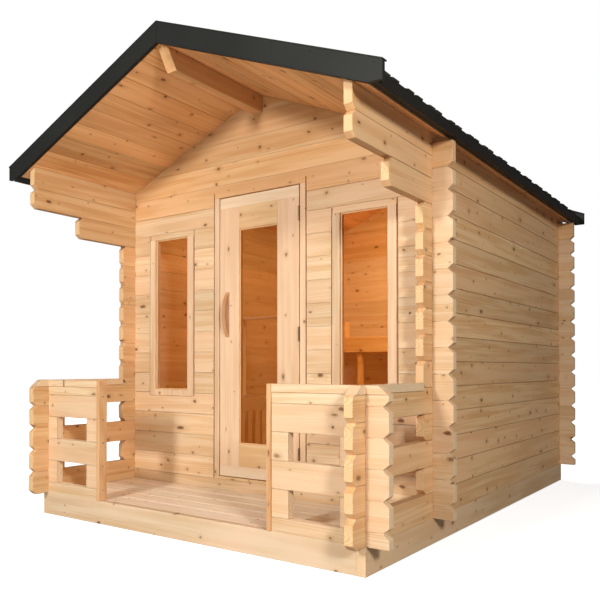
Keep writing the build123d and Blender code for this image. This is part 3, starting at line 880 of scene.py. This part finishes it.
def redress(nodes: Iterable[str], finish: Finish) -> None:
    """Give carried-over CAD nodes a finish in every material slot.

    Args:
        nodes: Names of the nodes.
        finish: Their material.
    """
    for name in nodes:
        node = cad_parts[name]
        if not node.material_slots:
            node.data.materials.append(finish)
        for place in node.material_slots:
            place.material = finish
        LOG.info("node %s: %s", name, finish.name)


def solids_of(mesh: bpy.types.Mesh) -> list[list[int]]:
    """Sort a node's loose triangles into its closed solids.

    Where solids touch along an edge, a triangle goes with the next one on its wood side.

    Args:
        mesh: The node's mesh.

    Returns:
        The triangles' numbers, one list for each solid.
    """
    spots = [tuple(round(c * MERGE_STEPS) for c in v.co) for v in mesh.vertices]
    edges = defaultdict(list)
    for face in mesh.polygons:
        ring = list(face.vertices)
        for i, first in enumerate(ring):
            second, third = ring[(i + 1) % len(ring)], ring[(i + 2) % len(ring)]
            edges[frozenset((spots[first], spots[second]))].append((face.index, third))
    parent = list(range(len(mesh.polygons)))

    def root(i: int) -> int:
        """Find the head of a triangle's group.

        Args:
            i: Number of the triangle.

        Returns:
            Number of the head.
        """
        while parent[i] != i:
            parent[i] = parent[parent[i]]
            i = parent[i]
        return i

    for ends, users in edges.items():
        if len(ends) < 2:
            continue
        if len(users) == 2:
            parent[root(users[0][0])] = root(users[1][0])
            continue
        a, b = (Vector(c) for c in sorted(ends))
        axis = (b - a).normalized()
        side = axis.orthogonal().normalized()
        up = axis.cross(side)
        turns = []
        for number, third in users:
            out = Vector(spots[third]) - a
            out -= axis * out.dot(axis)
            angle = math.atan2(out.dot(up), out.dot(side))
            inward = -mesh.polygons[number].normal
            turns.append((angle, number, axis.cross(out).dot(inward) > 0))
        turns.sort()
        for i, (_, number, rising) in enumerate(turns):
            if rising:
                parent[root(number)] = root(turns[(i + 1) % len(turns)][1])
    groups = defaultdict(list)
    for i in range(len(parent)):
        groups[root(i)].append(i)
    return list(groups.values())


def merged(source: Piece, name: str) -> Piece:
    """Copy a CAD node with the triangles of each solid merged.

    Args:
        source: The node's object.
        name: Name of the copy.

    Returns:
        The copy, with every solid closed by itself.
    """
    old = source.data
    corners, faces = [], []
    for group in solids_of(old):
        seen = {}
        for number in group:
            ring = []
            for v in old.polygons[number].vertices:
                co = old.vertices[v].co
                key = tuple(round(c * MERGE_STEPS) for c in co)
                if key not in seen:
                    seen[key] = len(corners)
                    corners.append(tuple(co))
                ring.append(seen[key])
            if len(set(ring)) == len(ring):
                faces.append(ring)
    mesh = bpy.data.meshes.new(name)
    mesh.from_pydata(corners, [], faces)
    mesh.update()
    piece = bpy.data.objects.new(name, mesh)
    bpy.context.scene.collection.objects.link(piece)
    return piece


def ceiling_at(x: float) -> float:
    """Height of the roof's underside at a place across the roof."""
    return RIDGE_UNDER - math.tan(SLOPE) * abs(x)


@dataclass(frozen=True)
class Cut:
    """A timber, the nodes planed again from it, and the nodes that only get its finish."""

    timber: Timber
    slot: str = ""
    planed: tuple[str, ...] = ()
    ease: float = 0.0018
    body: str = CABIN
    kept: tuple[str, ...] = ()

    def dress(self) -> None:
        """Model the planed nodes again with eased edges, and dress the others."""
        finish = self.timber.build()
        for name in self.planed:
            piece = merged(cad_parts[name], f"{name}_planed")
            take(piece)
            bpy.ops.object.mode_set(mode="EDIT")
            bpy.ops.mesh.select_all(action="SELECT")
            bpy.ops.mesh.dissolve_limited(angle_limit=FLAT_JOIN)
            bpy.ops.object.mode_set(mode="OBJECT")
            ease_edges(piece, self.ease)
            dress(piece, finish, self.body, instead_of=[name])
        redress(self.kept, finish)


@dataclass(frozen=True)
class Screw:
    """Domed screw head with a sunk middle."""

    radius: float
    height: float
    sides: int = 12
    dome: float = 0.45
    sunk_share: float = 0.35
    sunk_depth: float = 0.5

    def select_top(self, head: Piece, least: float) -> None:
        """Select the faces that look up.

        Args:
            head: The head, in edit mode.
            least: How far up a face's normal has to point.
        """
        bpy.ops.mesh.select_all(action="DESELECT")
        mesh = bmesh.from_edit_mesh(head.data)
        for face in mesh.faces:
            face.select = face.normal.z > least
        bmesh.update_edit_mesh(head.data)

    def drive(self, place: Place, axis: Axis, way: int) -> Piece:
        """Model the head on a surface.

        Args:
            place: Where it sits.
            axis: Axis that the screw runs along.
            way: 1 or -1, the way that the head faces along the axis.

        Returns:
            The head.
        """
        clear_selection()
        bpy.ops.mesh.primitive_cylinder_add(vertices=self.sides, radius=self.radius,
                                            depth=self.height, location=(0, 0, self.height / 2))
        head = bpy.context.object
        settle(head)
        bpy.ops.object.mode_set(mode="EDIT")
        bpy.ops.mesh.select_mode(type="FACE")
        self.select_top(head, 0.9)
        bpy.ops.mesh.bevel(offset=self.height * self.dome, segments=1, affect="EDGES")
        self.select_top(head, 0.99)
        bpy.ops.mesh.inset(thickness=self.radius * self.sunk_share)
        bpy.ops.mesh.extrude_region_move(
            TRANSFORM_OT_translate={"value": (0, 0, -self.height * self.sunk_depth)})
        bpy.ops.object.mode_set(mode="OBJECT")
        turn = Vector((0, 0, 1)).rotation_difference(Vector(axis.unit) * way)
        head.data.transform(Matrix.Translation(place) @ turn.to_matrix().to_4x4())
        return head


# ---------------------------------------------------------------- sub-assemblies


@dataclass
class LogWalls:
    """Walls, gables, porch rails and sill frame, all of notched logs."""

    slot: str = "log"
    top_steps: tuple[float, ...] = (1.817, 1.957, PLATE_SEAM)
    front_start: float = SILL_TOP + SEAM_OFFSET
    beam: Pair = (0.2, -0.03)

    def dress(self) -> None:
        """Give the logs their timber."""
        side, cross = (Axis.Y, Axis.Z), (Axis.X, Axis.Z)
        cuts = [
            (Timber("side_log_timber", *side, start=SILL_TOP, seam_dark=0.2),
             ("left_wall", "right_wall", "left_rail_logs", "right_rail_logs")),
            (Timber("top_log_timber", *side, steps=self.top_steps, seam_dark=0.3, seed=2.0),
             ("left_top_logs", "right_top_logs")),
        ]
        # The cross logs of the front wall, back wall and porch rails take the creamier painted-lit
        # wood.
        for seed, nodes in ((3.0, ("front_wall_left", "back_wall")), (4.0, ("front_wall_right",)),
                            (8.0, ("front_wall_base", "left_porch_rail", "right_porch_rail"))):
            # Their seams get light lines: painted light over the grooves' shade.
            cuts.append((Timber(f"cross_log_timber_{int(seed)}", *cross, start=self.front_start,
                                early=PAINTED_LIT_EARLY, late=PAINTED_LIT_LATE, painted_light_seam=0.45, seed=seed),
                         nodes))
        cuts.append((Timber("gable_log_timber", *cross, start=GABLE_SEAM, seam_dark=0.2,
                            early=srgb(224, 188, 142), late=srgb(204, 154, 100), seed=7.0),
                     ("front_gable", "back_gable")))
        for timber, nodes in cuts:
            Cut(timber, self.slot, nodes).dress()
        Cut(Timber("side_sill_timber", *side, *self.beam, early=srgb(224, 196, 158),
                   late=srgb(206, 166, 120), seed=5.0),
            self.slot, ("sill_sides",), kept=("floor_joists",)).dress()
        Cut(Timber("cross_sill_timber", *cross, *self.beam, early=srgb(228, 208, 178),
                   late=srgb(212, 178, 138), seed=6.0),
            self.slot, ("sill_crossbeams",)).dress()


@dataclass
class PlankWork:
    """Floors, ceiling, ridge beam, caps and posts."""

    slot: str = "frame_wood"
    porch_boards: Pair = (0.1398, FRONT_Y + LOG_THICK)
    cabin_boards: Pair = (2.578 / 21, WALL_Y + LOG_THICK)
    ceiling_board: float = 1.250 / 9
    beam: Pair = (0.3, 2.5)
    cap: Pair = (0.3, -1.9)

    def dress(self) -> None:
        """Give the planks their timber."""
        for cut in (
            Cut(Timber("porch_floor_timber", Axis.X, Axis.Y, *self.porch_boards,
                       early=srgb(250, 240, 222), late=srgb(238, 216, 186), knot_size=0.005,
                       tone_spread=0.10, roughness=0.5), kept=("porch_floor",)),
            Cut(Timber("cabin_floor_timber", Axis.X, Axis.Y, *self.cabin_boards, knot_size=0.006,
                       roughness=0.5, seed=1.0), kept=("cabin_floor",)),
            Cut(Timber("ceiling_timber", Axis.Y, Axis.X, self.ceiling_board,
                       early=srgb(232, 187, 132), late=srgb(200, 140, 84), seed=9.0,
                       knot_spacing=0.26, tone_spread=0.40, seam_dark=0.35),
                kept=("roof_panel_left", "roof_panel_right")),
            Cut(Timber("beam_timber", Axis.Y, Axis.Z, *self.beam, early=srgb(220, 178, 128),
                       late=srgb(198, 146, 92), seed=11.0), self.slot, ("ridge_beam",), 0.003),
            # The rail caps take the creamier painted-lit wood.
            Cut(Timber("cap_timber", Axis.X, Axis.Y, *self.cap, early=PAINTED_LIT_EARLY, late=PAINTED_LIT_LATE,
                       seed=12.0), self.slot, ("rail_caps",), 0.0025),
            Cut(Timber("post_timber", Axis.Z, Axis.X, steps=(0.0,), early=srgb(218, 180, 134),
                       late=srgb(196, 142, 92), seed=13.0, knot_size=0.006),
                self.slot, ("rail_posts",), 0.002),
        ):
            cut.dress()


@dataclass
class Joinery:
    """Door, windows and what shows through them."""

    slot: str = "frame_wood"
    inside_slot: str = "inside_wood"
    ease: float = 0.0015
    inside_ease: float = 0.002
    seam: float = 0.154
    glass_low: float = 0.447
    glass_high: float = 1.843
    glass_y: float = -0.932
    bead: float = 0.009
    window_middle: float = 0.760
    window_reach: float = 0.155
    window_low: float = 0.788
    window_high: float = 1.848
    pane_y: float = -0.931
    bench_slats: Pair = (0.1156, 1.116)
    bench_front: Pair = (0.13, 1.07)
    bow: Pair = (0.3, -0.4)
    strip: Pair = (0.5, -0.9)

    def timbers(self) -> None:
        """Give frames, leaf, bench and handles their timber."""
        upright, level = (Axis.Z, Axis.X), (Axis.X, Axis.Z)
        middle = self.window_middle
        for cut in (
            # Stiles, jambs and window frames take the creamier painted-lit wood.
            Cut(Timber("door_stile_timber", *upright, steps=(-self.seam, self.seam), early=PAINTED_LIT_CREAM,
                       late=PAINTED_LIT_CREAM_LATE, seed=21.0, knot_spacing=0.26),
                self.slot, ("door_stiles",), self.ease, DOOR),
            Cut(Timber("door_rail_timber", *level, steps=(1.0,), early=srgb(222, 192, 150),
                       late=srgb(204, 162, 114), seed=22.0, knot_spacing=0.26),
                self.slot, ("door_rails",), self.ease, DOOR, ("threshold",)),
            Cut(Timber("door_end_timber", *level, steps=(1.0,), early=srgb(232, 214, 186),
                       late=srgb(218, 190, 154), seed=26.0, knot_share=0.3),
                self.slot, ("door_end_boards",), self.ease, DOOR),
            Cut(Timber("jamb_timber", *upright, steps=(0.0,), early=PAINTED_LIT_CREAM, late=PAINTED_LIT_CREAM_LATE,
                       seed=27.0, knot_size=0.006), self.slot, ("door_jambs",), self.ease),
            Cut(Timber("window_timber", *upright, steps=(-middle, 0.0, middle), early=PAINTED_LIT_CREAM,
                       late=PAINTED_LIT_CREAM_LATE, seed=28.0, knot_size=0.006),
                self.slot, ("window_frames",), self.ease),
            Cut(Timber("bench_timber", Axis.X, Axis.Y, *self.bench_slats, early=AMBER,
                       late=AMBER_LATE, seed=24.0),
                self.inside_slot, ("bench_slats",), self.inside_ease),
            # The end rail and heater guard are pale wood made nearly white so that they show bright
            # behind the glass in the room's shade: partly their own colour, partly painted
            # highlight.
            Cut(Timber("guard_timber", *level, *self.bench_front, early=srgb(255, 236, 204),
                       late=srgb(246, 212, 164), seed=29.0),
                self.inside_slot, ("bench_end_rail", "heater_guard"), self.inside_ease),
            Cut(Timber("bench_frame_timber", *level, *self.bench_front, early=AMBER,
                       late=AMBER_LATE, seed=25.0),
                self.inside_slot, ("bench_frame",), self.inside_ease),
            Cut(Timber("bow_timber", *upright, *self.bow, early=srgb(208, 164, 122),
                       late=srgb(168, 116, 74), knot_size=0.004, seed=23.0, ring_width=0.003),
                "handle_wood", ("door_handles",), 0.004, DOOR),
        ):
            cut.dress()
        redress(["door_hinge_leaves", "jamb_hinge_leaves"],
                PlatedSteel("brassed_steel", (0.34, 0.24, 0.14)).build())

    def beads(self, name: str, low: Pair, high: Pair, face_y: float, finish: Finish,
              body: str) -> None:
        """Model the four beads that hold a pane.

        Args:
            name: Name of the piece.
            low: Left edge and bottom of the pane's opening.
            high: Right edge and top of the opening.
            face_y: Outer face of the pane.
            finish: Material of the beads.
            body: Body that they move with.
        """
        w, near = self.bead, face_y - self.bead
        (low_x, low_z), (high_x, high_z) = low, high
        strips = [
            block("bead", (x0, near, z0), (x1, face_y, z1), self.ease)
            for x0, z0, x1, z1 in ((low_x, low_z, low_x + w, high_z),
                                   (high_x - w, low_z, high_x, high_z),
                                   (low_x + w, low_z, high_x - w, low_z + w),
                                   (low_x + w, high_z - w, high_x - w, high_z))
        ]
        dress(joined(strips, name), finish, body)

    def panes(self) -> None:
        """Give the panes their glass and beads."""
        redress(["door_glass"], TintedPane("door_pane", 0.44).build())
        redress(["window_glass"], TintedPane("window_pane", 0.20).build())
        trim = Timber("bead_timber", Axis.Z, Axis.X, *self.strip, early=srgb(224, 184, 134),
                      late=srgb(204, 156, 104), knot_share=0.0, seed=31.0).build()
        self.beads("door_glass_beads", (-self.seam, self.glass_low), (self.seam, self.glass_high),
                   self.glass_y, trim, DOOR)
        for side, sign in (("left", -1), ("right", 1)):
            middle = sign * self.window_middle
            self.beads(f"{side}_window_beads", (middle - self.window_reach, self.window_low),
                       (middle + self.window_reach, self.window_high), self.pane_y, trim, CABIN)

    def dress(self) -> None:
        """Dress the whole joinery."""
        self.timbers()
        self.panes()


@dataclass
class Roof:
    """Shingles in courses, ridge caps and folded metal round the edges."""

    shingle_slot: str = "shingle"
    metal_slot: str = "trim_metal"
    half_width: float = 1.320
    board_edge: float = 1.2503
    panel: float = 0.052
    courses: int = 10
    underlay: float = 0.002
    underlay_start: float = 0.02
    course_start: float = 0.012
    course_overlap: float = 1.12
    seat: float = 0.0004
    felt: float = 0.0035
    felt_lift: float = 0.0005
    tooth: float = 0.0090
    tooth_ease: float = 0.0015
    tooth_length: float = 0.8
    tooth_width: float = 0.062
    tooth_pair: float = 0.088
    tooth_pitch: float = 0.250
    tooth_margin: float = 0.008
    first_tooth: float = 0.06
    tooth_play: float = 0.006
    pitch_play: float = 0.02
    cap_half: float = 0.130
    cap_thick: float = 0.004
    cap_seat: float = 0.0135
    cap_ease: float = 0.001
    cap_inset: float = 0.001
    cap_exposure: float = 0.146
    cap_length: float = 1.25
    cap_end: float = 1.26
    cap_tilt: float = 1.6
    trim_rise: float = 0.104
    trim_drop: float = 0.006
    trim_thick: float = 0.025
    trim_ease: float = 0.0012
    lip_ease: float = 0.0008
    joint_ease: float = 0.0004
    mitre: float = 0.0006
    level_cut: float = 0.073
    lip: float = 0.007
    lip_proud: float = 0.0022
    lip_back: float = 0.014
    lip_inset: Pair = (0.002, 0.001)
    hem: float = 0.006
    hem_depth: float = 0.012
    joint: Pair = (0.70, 0.76)
    joint_proud: float = 0.0008
    eave_gap: float = 0.006
    eave_low: float = 0.0087
    skirt_gap: float = 0.0015
    screw_places: tuple[float, ...] = (0.12, 0.55, 0.98, 1.305)
    screw_rise: float = 0.086
    screw: Screw = Screw(0.0042, 0.0018)
    draw: Random = field(default_factory=lambda: Random(41))

    def on_slope(self, sign: int, run: float, up: float) -> Pair:
        """Find a place on a slope.

        Args:
            sign: Side of the ridge.
            run: Distance down the slope from the ridge line.
            up: Height square to the roof's underside.

        Returns:
            The place's X and Z.
        """
        x = run * math.cos(SLOPE) + up * math.sin(SLOPE)
        z = RIDGE_UNDER - run * math.sin(SLOPE) + up * math.cos(SLOPE)
        return sign * x, z

    def above_ceiling(self, sign: int, corners: Iterable[Pair]) -> list[Pair]:
        """Corners at distances from the ridge and heights over the ceiling there."""
        return [(sign * x, ceiling_at(x) + up) for x, up in corners]

    def strip(self, sign: int, runs: Pair, lows: Pair, thick: float,
              ends: Pair = (ROOF_START, ROOF_END)) -> Piece:
        """Lay one felt strip on the slope, rising towards its lower edge.

        Args:
            sign: Side of the ridge.
            runs: Runs of its upper and its lower edge.
            lows: Heights of its underside at those edges.
            thick: Its thickness.
            ends: Its two ends along the roof.

        Returns:
            The strip.
        """
        (start, end), (low, high) = runs, lows
        outline = [self.on_slope(sign, run, up) for run, up in (
            (start, low), (end, high), (end, high + thick), (start, low + thick))]
        return bar("felt", outline, Axis.Y, *ends)

    def shingles(self, finish: Finish) -> None:
        """Lay the courses of toothed shingles on both slopes.

        Args:
            finish: Material of the shingles.
        """
        deck = self.panel + self.seat
        edge_run = (self.half_width - (deck + self.tooth) * math.sin(SLOPE)) / math.cos(SLOPE)
        exposure = edge_run / self.courses
        lift = self.felt + self.felt_lift
        for side, sign in (("left", -1), ("right", 1)):
            whole = [self.strip(sign, (self.underlay_start, edge_run), (deck, deck),
                                self.underlay)]
            tooth = self.strip(sign, (-exposure * self.tooth_length, 0.0), (0.0, lift),
                               self.tooth, (0.0, self.tooth_width))
            ease_edges(tooth, self.tooth_ease)
            for k in range(1, self.courses + 1):
                end = edge_run - exposure * (self.courses - k)
                start = max(self.course_start, end - exposure * self.course_overlap)
                whole.append(self.strip(sign, (start, end), (deck + self.underlay, deck + lift),
                                        self.felt))
                x, z = self.on_slope(sign, end, deck + self.felt)
                place = ROOF_START + self.tooth_margin + self.draw.uniform(0.0, self.first_tooth)
                while place + self.tooth_pair + self.tooth_width < ROOF_END - self.tooth_margin:
                    for shift in (0.0, self.tooth_pair):
                        y = place + shift + self.draw.uniform(-self.tooth_play, self.tooth_play)
                        matrix = Matrix.Translation((x, y, z - RIDGE_UNDER))
                        whole.append(copy_of(tooth, "tooth", matrix))
                    place += self.tooth_pitch + self.draw.uniform(-self.pitch_play, self.pitch_play)
            bpy.data.objects.remove(tooth)
            dress(joined(whole, f"{side}_shingles"), finish,
                  instead_of=[f"shingles_{side}"])

    def ridge(self, finish: Finish) -> None:
        """Lay the overlapping caps along the ridge.

        Args:
            finish: Material of the caps.
        """
        half, thick = self.cap_half, self.cap_thick
        top = RIDGE_UNDER + (self.panel + self.cap_seat) / math.cos(SLOPE)
        side = top - math.tan(SLOPE) * half
        outline = [(-half, side), (0.0, top), (half, side), (half, side + thick),
                   (0.0, top + thick), (-half, side + thick)]
        cap = bar("cap", outline, Axis.Y, 0.0, self.cap_exposure * self.cap_length)
        ease_edges(cap, self.cap_ease)
        span = ROOF_END - ROOF_START
        count = int(span / self.cap_exposure)
        step = (span - self.cap_exposure * self.cap_end) / (count - 1)
        tilt = Matrix.Rotation(math.radians(self.cap_tilt), 4, "X")
        whole = []
        for k in range(count):
            pivot = Matrix.Translation((0, ROOF_START + self.cap_inset + k * step, top))
            whole.append(copy_of(cap, "cap", pivot @ tilt @ Matrix.Translation((0, 0, -top))))
        bpy.data.objects.remove(cap)
        dress(joined(whole, "ridge_caps"), finish, instead_of=["ridge_cap"])

    def gable_edge(self, sign: int, out: int) -> list[Piece]:
        """Fold the metal on one slope of one gable.

        Args:
            sign: Side of the ridge.
            out: -1 at the porch gable, 1 at the back one.

        Returns:
            The board, its lip, its hem and the overlap of its joint.
        """
        mitre, outer = self.mitre, self.half_width + self.trim_thick
        level = outer - self.level_cut
        low, high = -self.trim_drop * SECANT, self.trim_rise * SECANT
        lip_low, hem_high = high - self.lip, low + self.hem
        back = ROOF_START if out < 0 else ROOF_END
        face = back + out * TRIM_FACE
        proud, buried = face + out * self.lip_proud, face - out * self.hem_depth
        end, top = outer - self.lip_inset[0], high - self.lip_inset[1]
        board = self.above_ceiling(sign, ((mitre, low), (level, low), (end, top), (mitre, top)))
        board.insert(2, (sign * end, ceiling_at(level) + low))
        lip = ((mitre, lip_low), (outer, lip_low), (outer, high), (mitre, high))
        hem = ((mitre, low), (level, low), (level, hem_high), (mitre, hem_high))
        a, b = self.joint
        joint = ((a, hem_high), (b, hem_high), (b, lip_low), (a, lip_low))
        return [
            bar("trim", board, Axis.Y, back, face, self.trim_ease),
            bar("lip", self.above_ceiling(sign, lip), Axis.Y, back - out * self.lip_back, proud,
                self.lip_ease),
            bar("hem", self.above_ceiling(sign, hem), Axis.Y, buried, proud, self.lip_ease),
            bar("overlap", self.above_ceiling(sign, joint), Axis.Y, buried,
                face + out * self.joint_proud, self.joint_ease),
        ]

    def eave_edge(self, sign: int) -> list[Piece]:
        """Clad one eave.

        Args:
            sign: Side of the ridge.

        Returns:
            The board and the drip edge that hangs before it.
        """
        top, low = self.panel * SECANT, self.eave_low
        edge, board = self.board_edge, self.half_width - self.eave_gap
        skirt = self.half_width - self.skirt_gap
        inner = skirt - 0.0018
        drip = ((skirt - 0.010, top + 0.0002), (skirt, top + 0.0002), (skirt, 0.022),
                (skirt + 0.0012, 0.009), (skirt - 0.0008, 0.009), (inner, 0.022),
                (inner, top - 0.0016), (skirt - 0.010, top - 0.0016))
        corners = ((edge, low), (board, low), (board, top), (edge, top))
        return [
            bar("eave", self.above_ceiling(sign, corners), Axis.Y, ROOF_START, ROOF_END,
                self.trim_ease),
            bar("drip", self.above_ceiling(sign, drip), Axis.Y, ROOF_START, ROOF_END),
        ]

    def trims(self, finish: Finish, clad: Finish) -> None:
        """Fold the metal round the gables and along the eaves, and drive the gables' screws.

        Args:
            finish: Material of the gables' metal.
            clad: Material of the eaves' metal.
        """
        gables, eaves, heads = [], [], []
        for sign in (-1, 1):
            for out in (-1, 1):
                gables += self.gable_edge(sign, out)
            eaves += self.eave_edge(sign)
            for x in self.screw_places:
                z = ceiling_at(x) + self.screw_rise
                for out, y in ((-1, ROOF_START - TRIM_FACE), (1, ROOF_END + TRIM_FACE)):
                    heads.append(self.screw.drive((sign * x, y, z), Axis.Y, out))
        dress(joined(gables, "gable_metal"), finish, instead_of=["gable_trims"])
        dress(joined(eaves, "eave_metal"), clad, instead_of=["eave_trims"])
        dress(joined(heads, "gable_metal_screws"), finish, smooth=40)

    def dress(self) -> None:
        """Dress the whole roof."""
        felt = MineralFelt("mineral_felt", srgb(32, 31, 29), srgb(92, 89, 82)).build()
        self.shingles(felt)
        self.ridge(felt)
        self.trims(CoatedSheet("coated_sheet", srgb(33, 34, 32), 0.45).build(),
                   CoatedSheet("eave_sheet", srgb(34, 32, 29), 0.6).build())


@dataclass
class Fasteners:
    """Screws that hold the gate posts."""

    post_x: float = 0.626
    post_heights: tuple[float, ...] = (0.20, 0.345, 0.485, 0.625, 0.765)
    screw: Screw = Screw(0.0045, 0.0012)

    def dress(self) -> None:
        """Drive the screws into the posts."""
        steel = PlatedSteel("screw_steel", (0.36, 0.33, 0.30)).build()
        heads = [
            self.screw.drive((sign * self.post_x, FRONT_Y + LOG_THICK / 2, z), Axis.X, -sign)
            for sign in (-1, 1) for z in self.post_heights
        ]
        dress(joined(heads, "gate_post_screws"), steel, smooth=40)


@dataclass(frozen=True)
class Lamp:
    """A soft square light."""

    name: str
    place: Place
    aim: Place
    size: float
    power: float
    colour: Colour
    gloss: bool = False

    def hang(self) -> None:
        """Set the light in its place, aimed and hidden from the camera."""
        data = bpy.data.lights.new(self.name, "AREA")
        data.shape = "SQUARE"
        data.size = self.size
        data.energy = self.power
        data.color = self.colour
        lamp = bpy.data.objects.new(self.name, data)
        bpy.context.scene.collection.objects.link(lamp)
        lamp.location = self.place
        lamp.rotation_mode = "QUATERNION"
        aim = Vector(self.aim) - Vector(self.place)
        lamp.rotation_quaternion = aim.to_track_quat("-Z", "Y")
        lamp.visible_camera = False
        lamp.visible_glossy = self.gloss


LAMPS = (
    Lamp("key", (0.23, -8.6, 3.4), (0.0, -0.95, 1.0), 0.85, 352.0, (1.0, 0.97, 0.93), True),
    Lamp("right_fill", (5.4, -4.8, 2.9), (1.0, -1.2, 0.7), 0.9, 262.0, (1.0, 0.98, 0.95)),
    Lamp("low_bounce", (0.0, -3.6, 0.05), (0.0, -1.2, 2.4), 2.4, 46.0, (1.0, 0.93, 0.83)),
    Lamp("back_fill", (-6.6, 5.6, 4.2), (-0.6, 0.9, 1.2), 1.6, 620.0, (1.0, 0.98, 0.95)),
    Lamp("room_lamp", (0.35, 0.55, 2.15), (0.3, 1.4, 0.9), 1.0, 33.0, (1.0, 0.76, 0.42)),
    Lamp("wall_lamp", (-0.30, 0.05, 2.15), (-1.13, 0.0, 1.75), 0.4, 7.0, (1.0, 0.80, 0.44)),
)


@dataclass
class Studio:
    """Floor, soft lights and the camera."""

    camera_place: Place = (2.681, -4.463, 0.941)
    yaw: float = 36.552
    pitch: float = 0.792
    roll: float = 0.028
    focal_px: float = 695.56
    centre_px: Pair = (267.16, 358.03)
    image_px: float = 600.0
    sensor: float = 36.0
    surround: float = 0.13
    floor_size: float = 60.0
    floor_z: float = -0.0006
    floor_bounce: float = 0.34
    floor_shown: tuple[float, ...] = (0.55, 0.56, 0.58, 1.0)
    glow_near: float = 0.76
    glow_rise: float = 0.24
    glow_ramp: Pair = (2.0, 4.6)

    def camera(self) -> None:
        """Set the camera where the photograph was taken from."""
        data = bpy.data.cameras.new("studio_camera")
        camera = bpy.data.objects.new("studio_camera", data)
        bpy.context.scene.collection.objects.link(camera)
        data.sensor_width = self.sensor
        data.sensor_fit = "HORIZONTAL"
        data.lens = self.focal_px / self.image_px * self.sensor
        data.shift_x = (self.image_px / 2 - self.centre_px[0]) / self.image_px
        data.shift_y = (self.centre_px[1] - self.image_px / 2) / self.image_px
        data.clip_start, data.clip_end = 0.05, 200.0
        yaw, pitch = math.radians(self.yaw), math.radians(self.pitch)
        forward = Vector((-math.sin(yaw) * math.cos(pitch), math.cos(yaw) * math.cos(pitch),
                          math.sin(pitch)))
        turn = forward.to_track_quat("-Z", "Y").to_matrix().to_4x4()
        turn = turn @ Matrix.Rotation(math.radians(self.roll), 4, "Z")
        camera.matrix_world = Matrix.Translation(self.camera_place) @ turn
        bpy.context.scene.camera = camera

    def floor(self) -> None:
        """Lay a wide pale floor that gives the cabin less light than it shows."""
        clear_selection()
        bpy.ops.mesh.primitive_plane_add(size=self.floor_size, location=(0, 0, self.floor_z))
        floor = bpy.context.object
        floor.name = "studio_floor"
        s = Sheet("pale_floor")
        bounce = self.floor_bounce
        s.set(Base_Color=s.mix(s.noise(s.place, 0.4), (bounce, bounce, bounce * 1.01),
                               (bounce, bounce, bounce)), Roughness=0.9)
        nodes, links = s.tree.nodes, s.tree.links
        shown = nodes.new("ShaderNodeBsdfDiffuse")
        shown.inputs[0].default_value = self.floor_shown
        glow = nodes.new("ShaderNodeEmission")
        reach = nodes.new("ShaderNodeVectorMath")
        reach.operation = "LENGTH"
        links.new(s.place, reach.inputs[0])
        links.new(s.fused(s.ramp(reach.outputs["Value"], *self.glow_ramp), self.glow_rise,
                          self.glow_near), glow.inputs[1])
        both = nodes.new("ShaderNodeAddShader")
        links.new(shown.outputs[0], both.inputs[0])
        links.new(glow.outputs[0], both.inputs[1])
        path = nodes.new("ShaderNodeLightPath")
        choice = nodes.new("ShaderNodeMixShader")
        links.new(path.outputs["Is Camera Ray"], choice.inputs[0])
        links.new(s.shader.outputs[0], choice.inputs[1])
        links.new(both.outputs[0], choice.inputs[2])
        links.new(choice.outputs[0], s.out.inputs[0])
        floor.data.materials.append(s.material)

    def world(self) -> None:
        """Hang a plain white surround that lights the cabin softly."""
        world = bpy.data.worlds.new("studio_surround")
        bpy.context.scene.world = world
        world.use_nodes = True
        tree = world.node_tree
        back = tree.nodes["Background"]
        back.inputs[0].default_value = (1.0, 1.0, 1.0, 1.0)
        path = tree.nodes.new("ShaderNodeLightPath")
        power = tree.nodes.new("ShaderNodeMapRange")
        power.inputs["To Min"].default_value = self.surround
        power.inputs["To Max"].default_value = 1.0
        tree.links.new(path.outputs["Is Camera Ray"], power.inputs["Value"])
        tree.links.new(power.outputs[0], back.inputs[1])

    def build(self) -> None:
        """Build the whole studio."""
        bpy.context.scene.view_settings.view_transform = "Standard"
        bpy.context.scene.view_settings.look = "None"
        self.camera()
        self.world()
        self.floor()
        for lamp in LAMPS:
            lamp.hang()


def main() -> None:
    """Build every sub-assembly in order."""
    logging.basicConfig(level=logging.INFO, format="%(name)s %(message)s")
    Studio().build()
    for part in (LogWalls(), PlankWork(), Joinery(), Roof(), Fasteners()):
        part.dress()


if __name__ == "__main__":
    main()
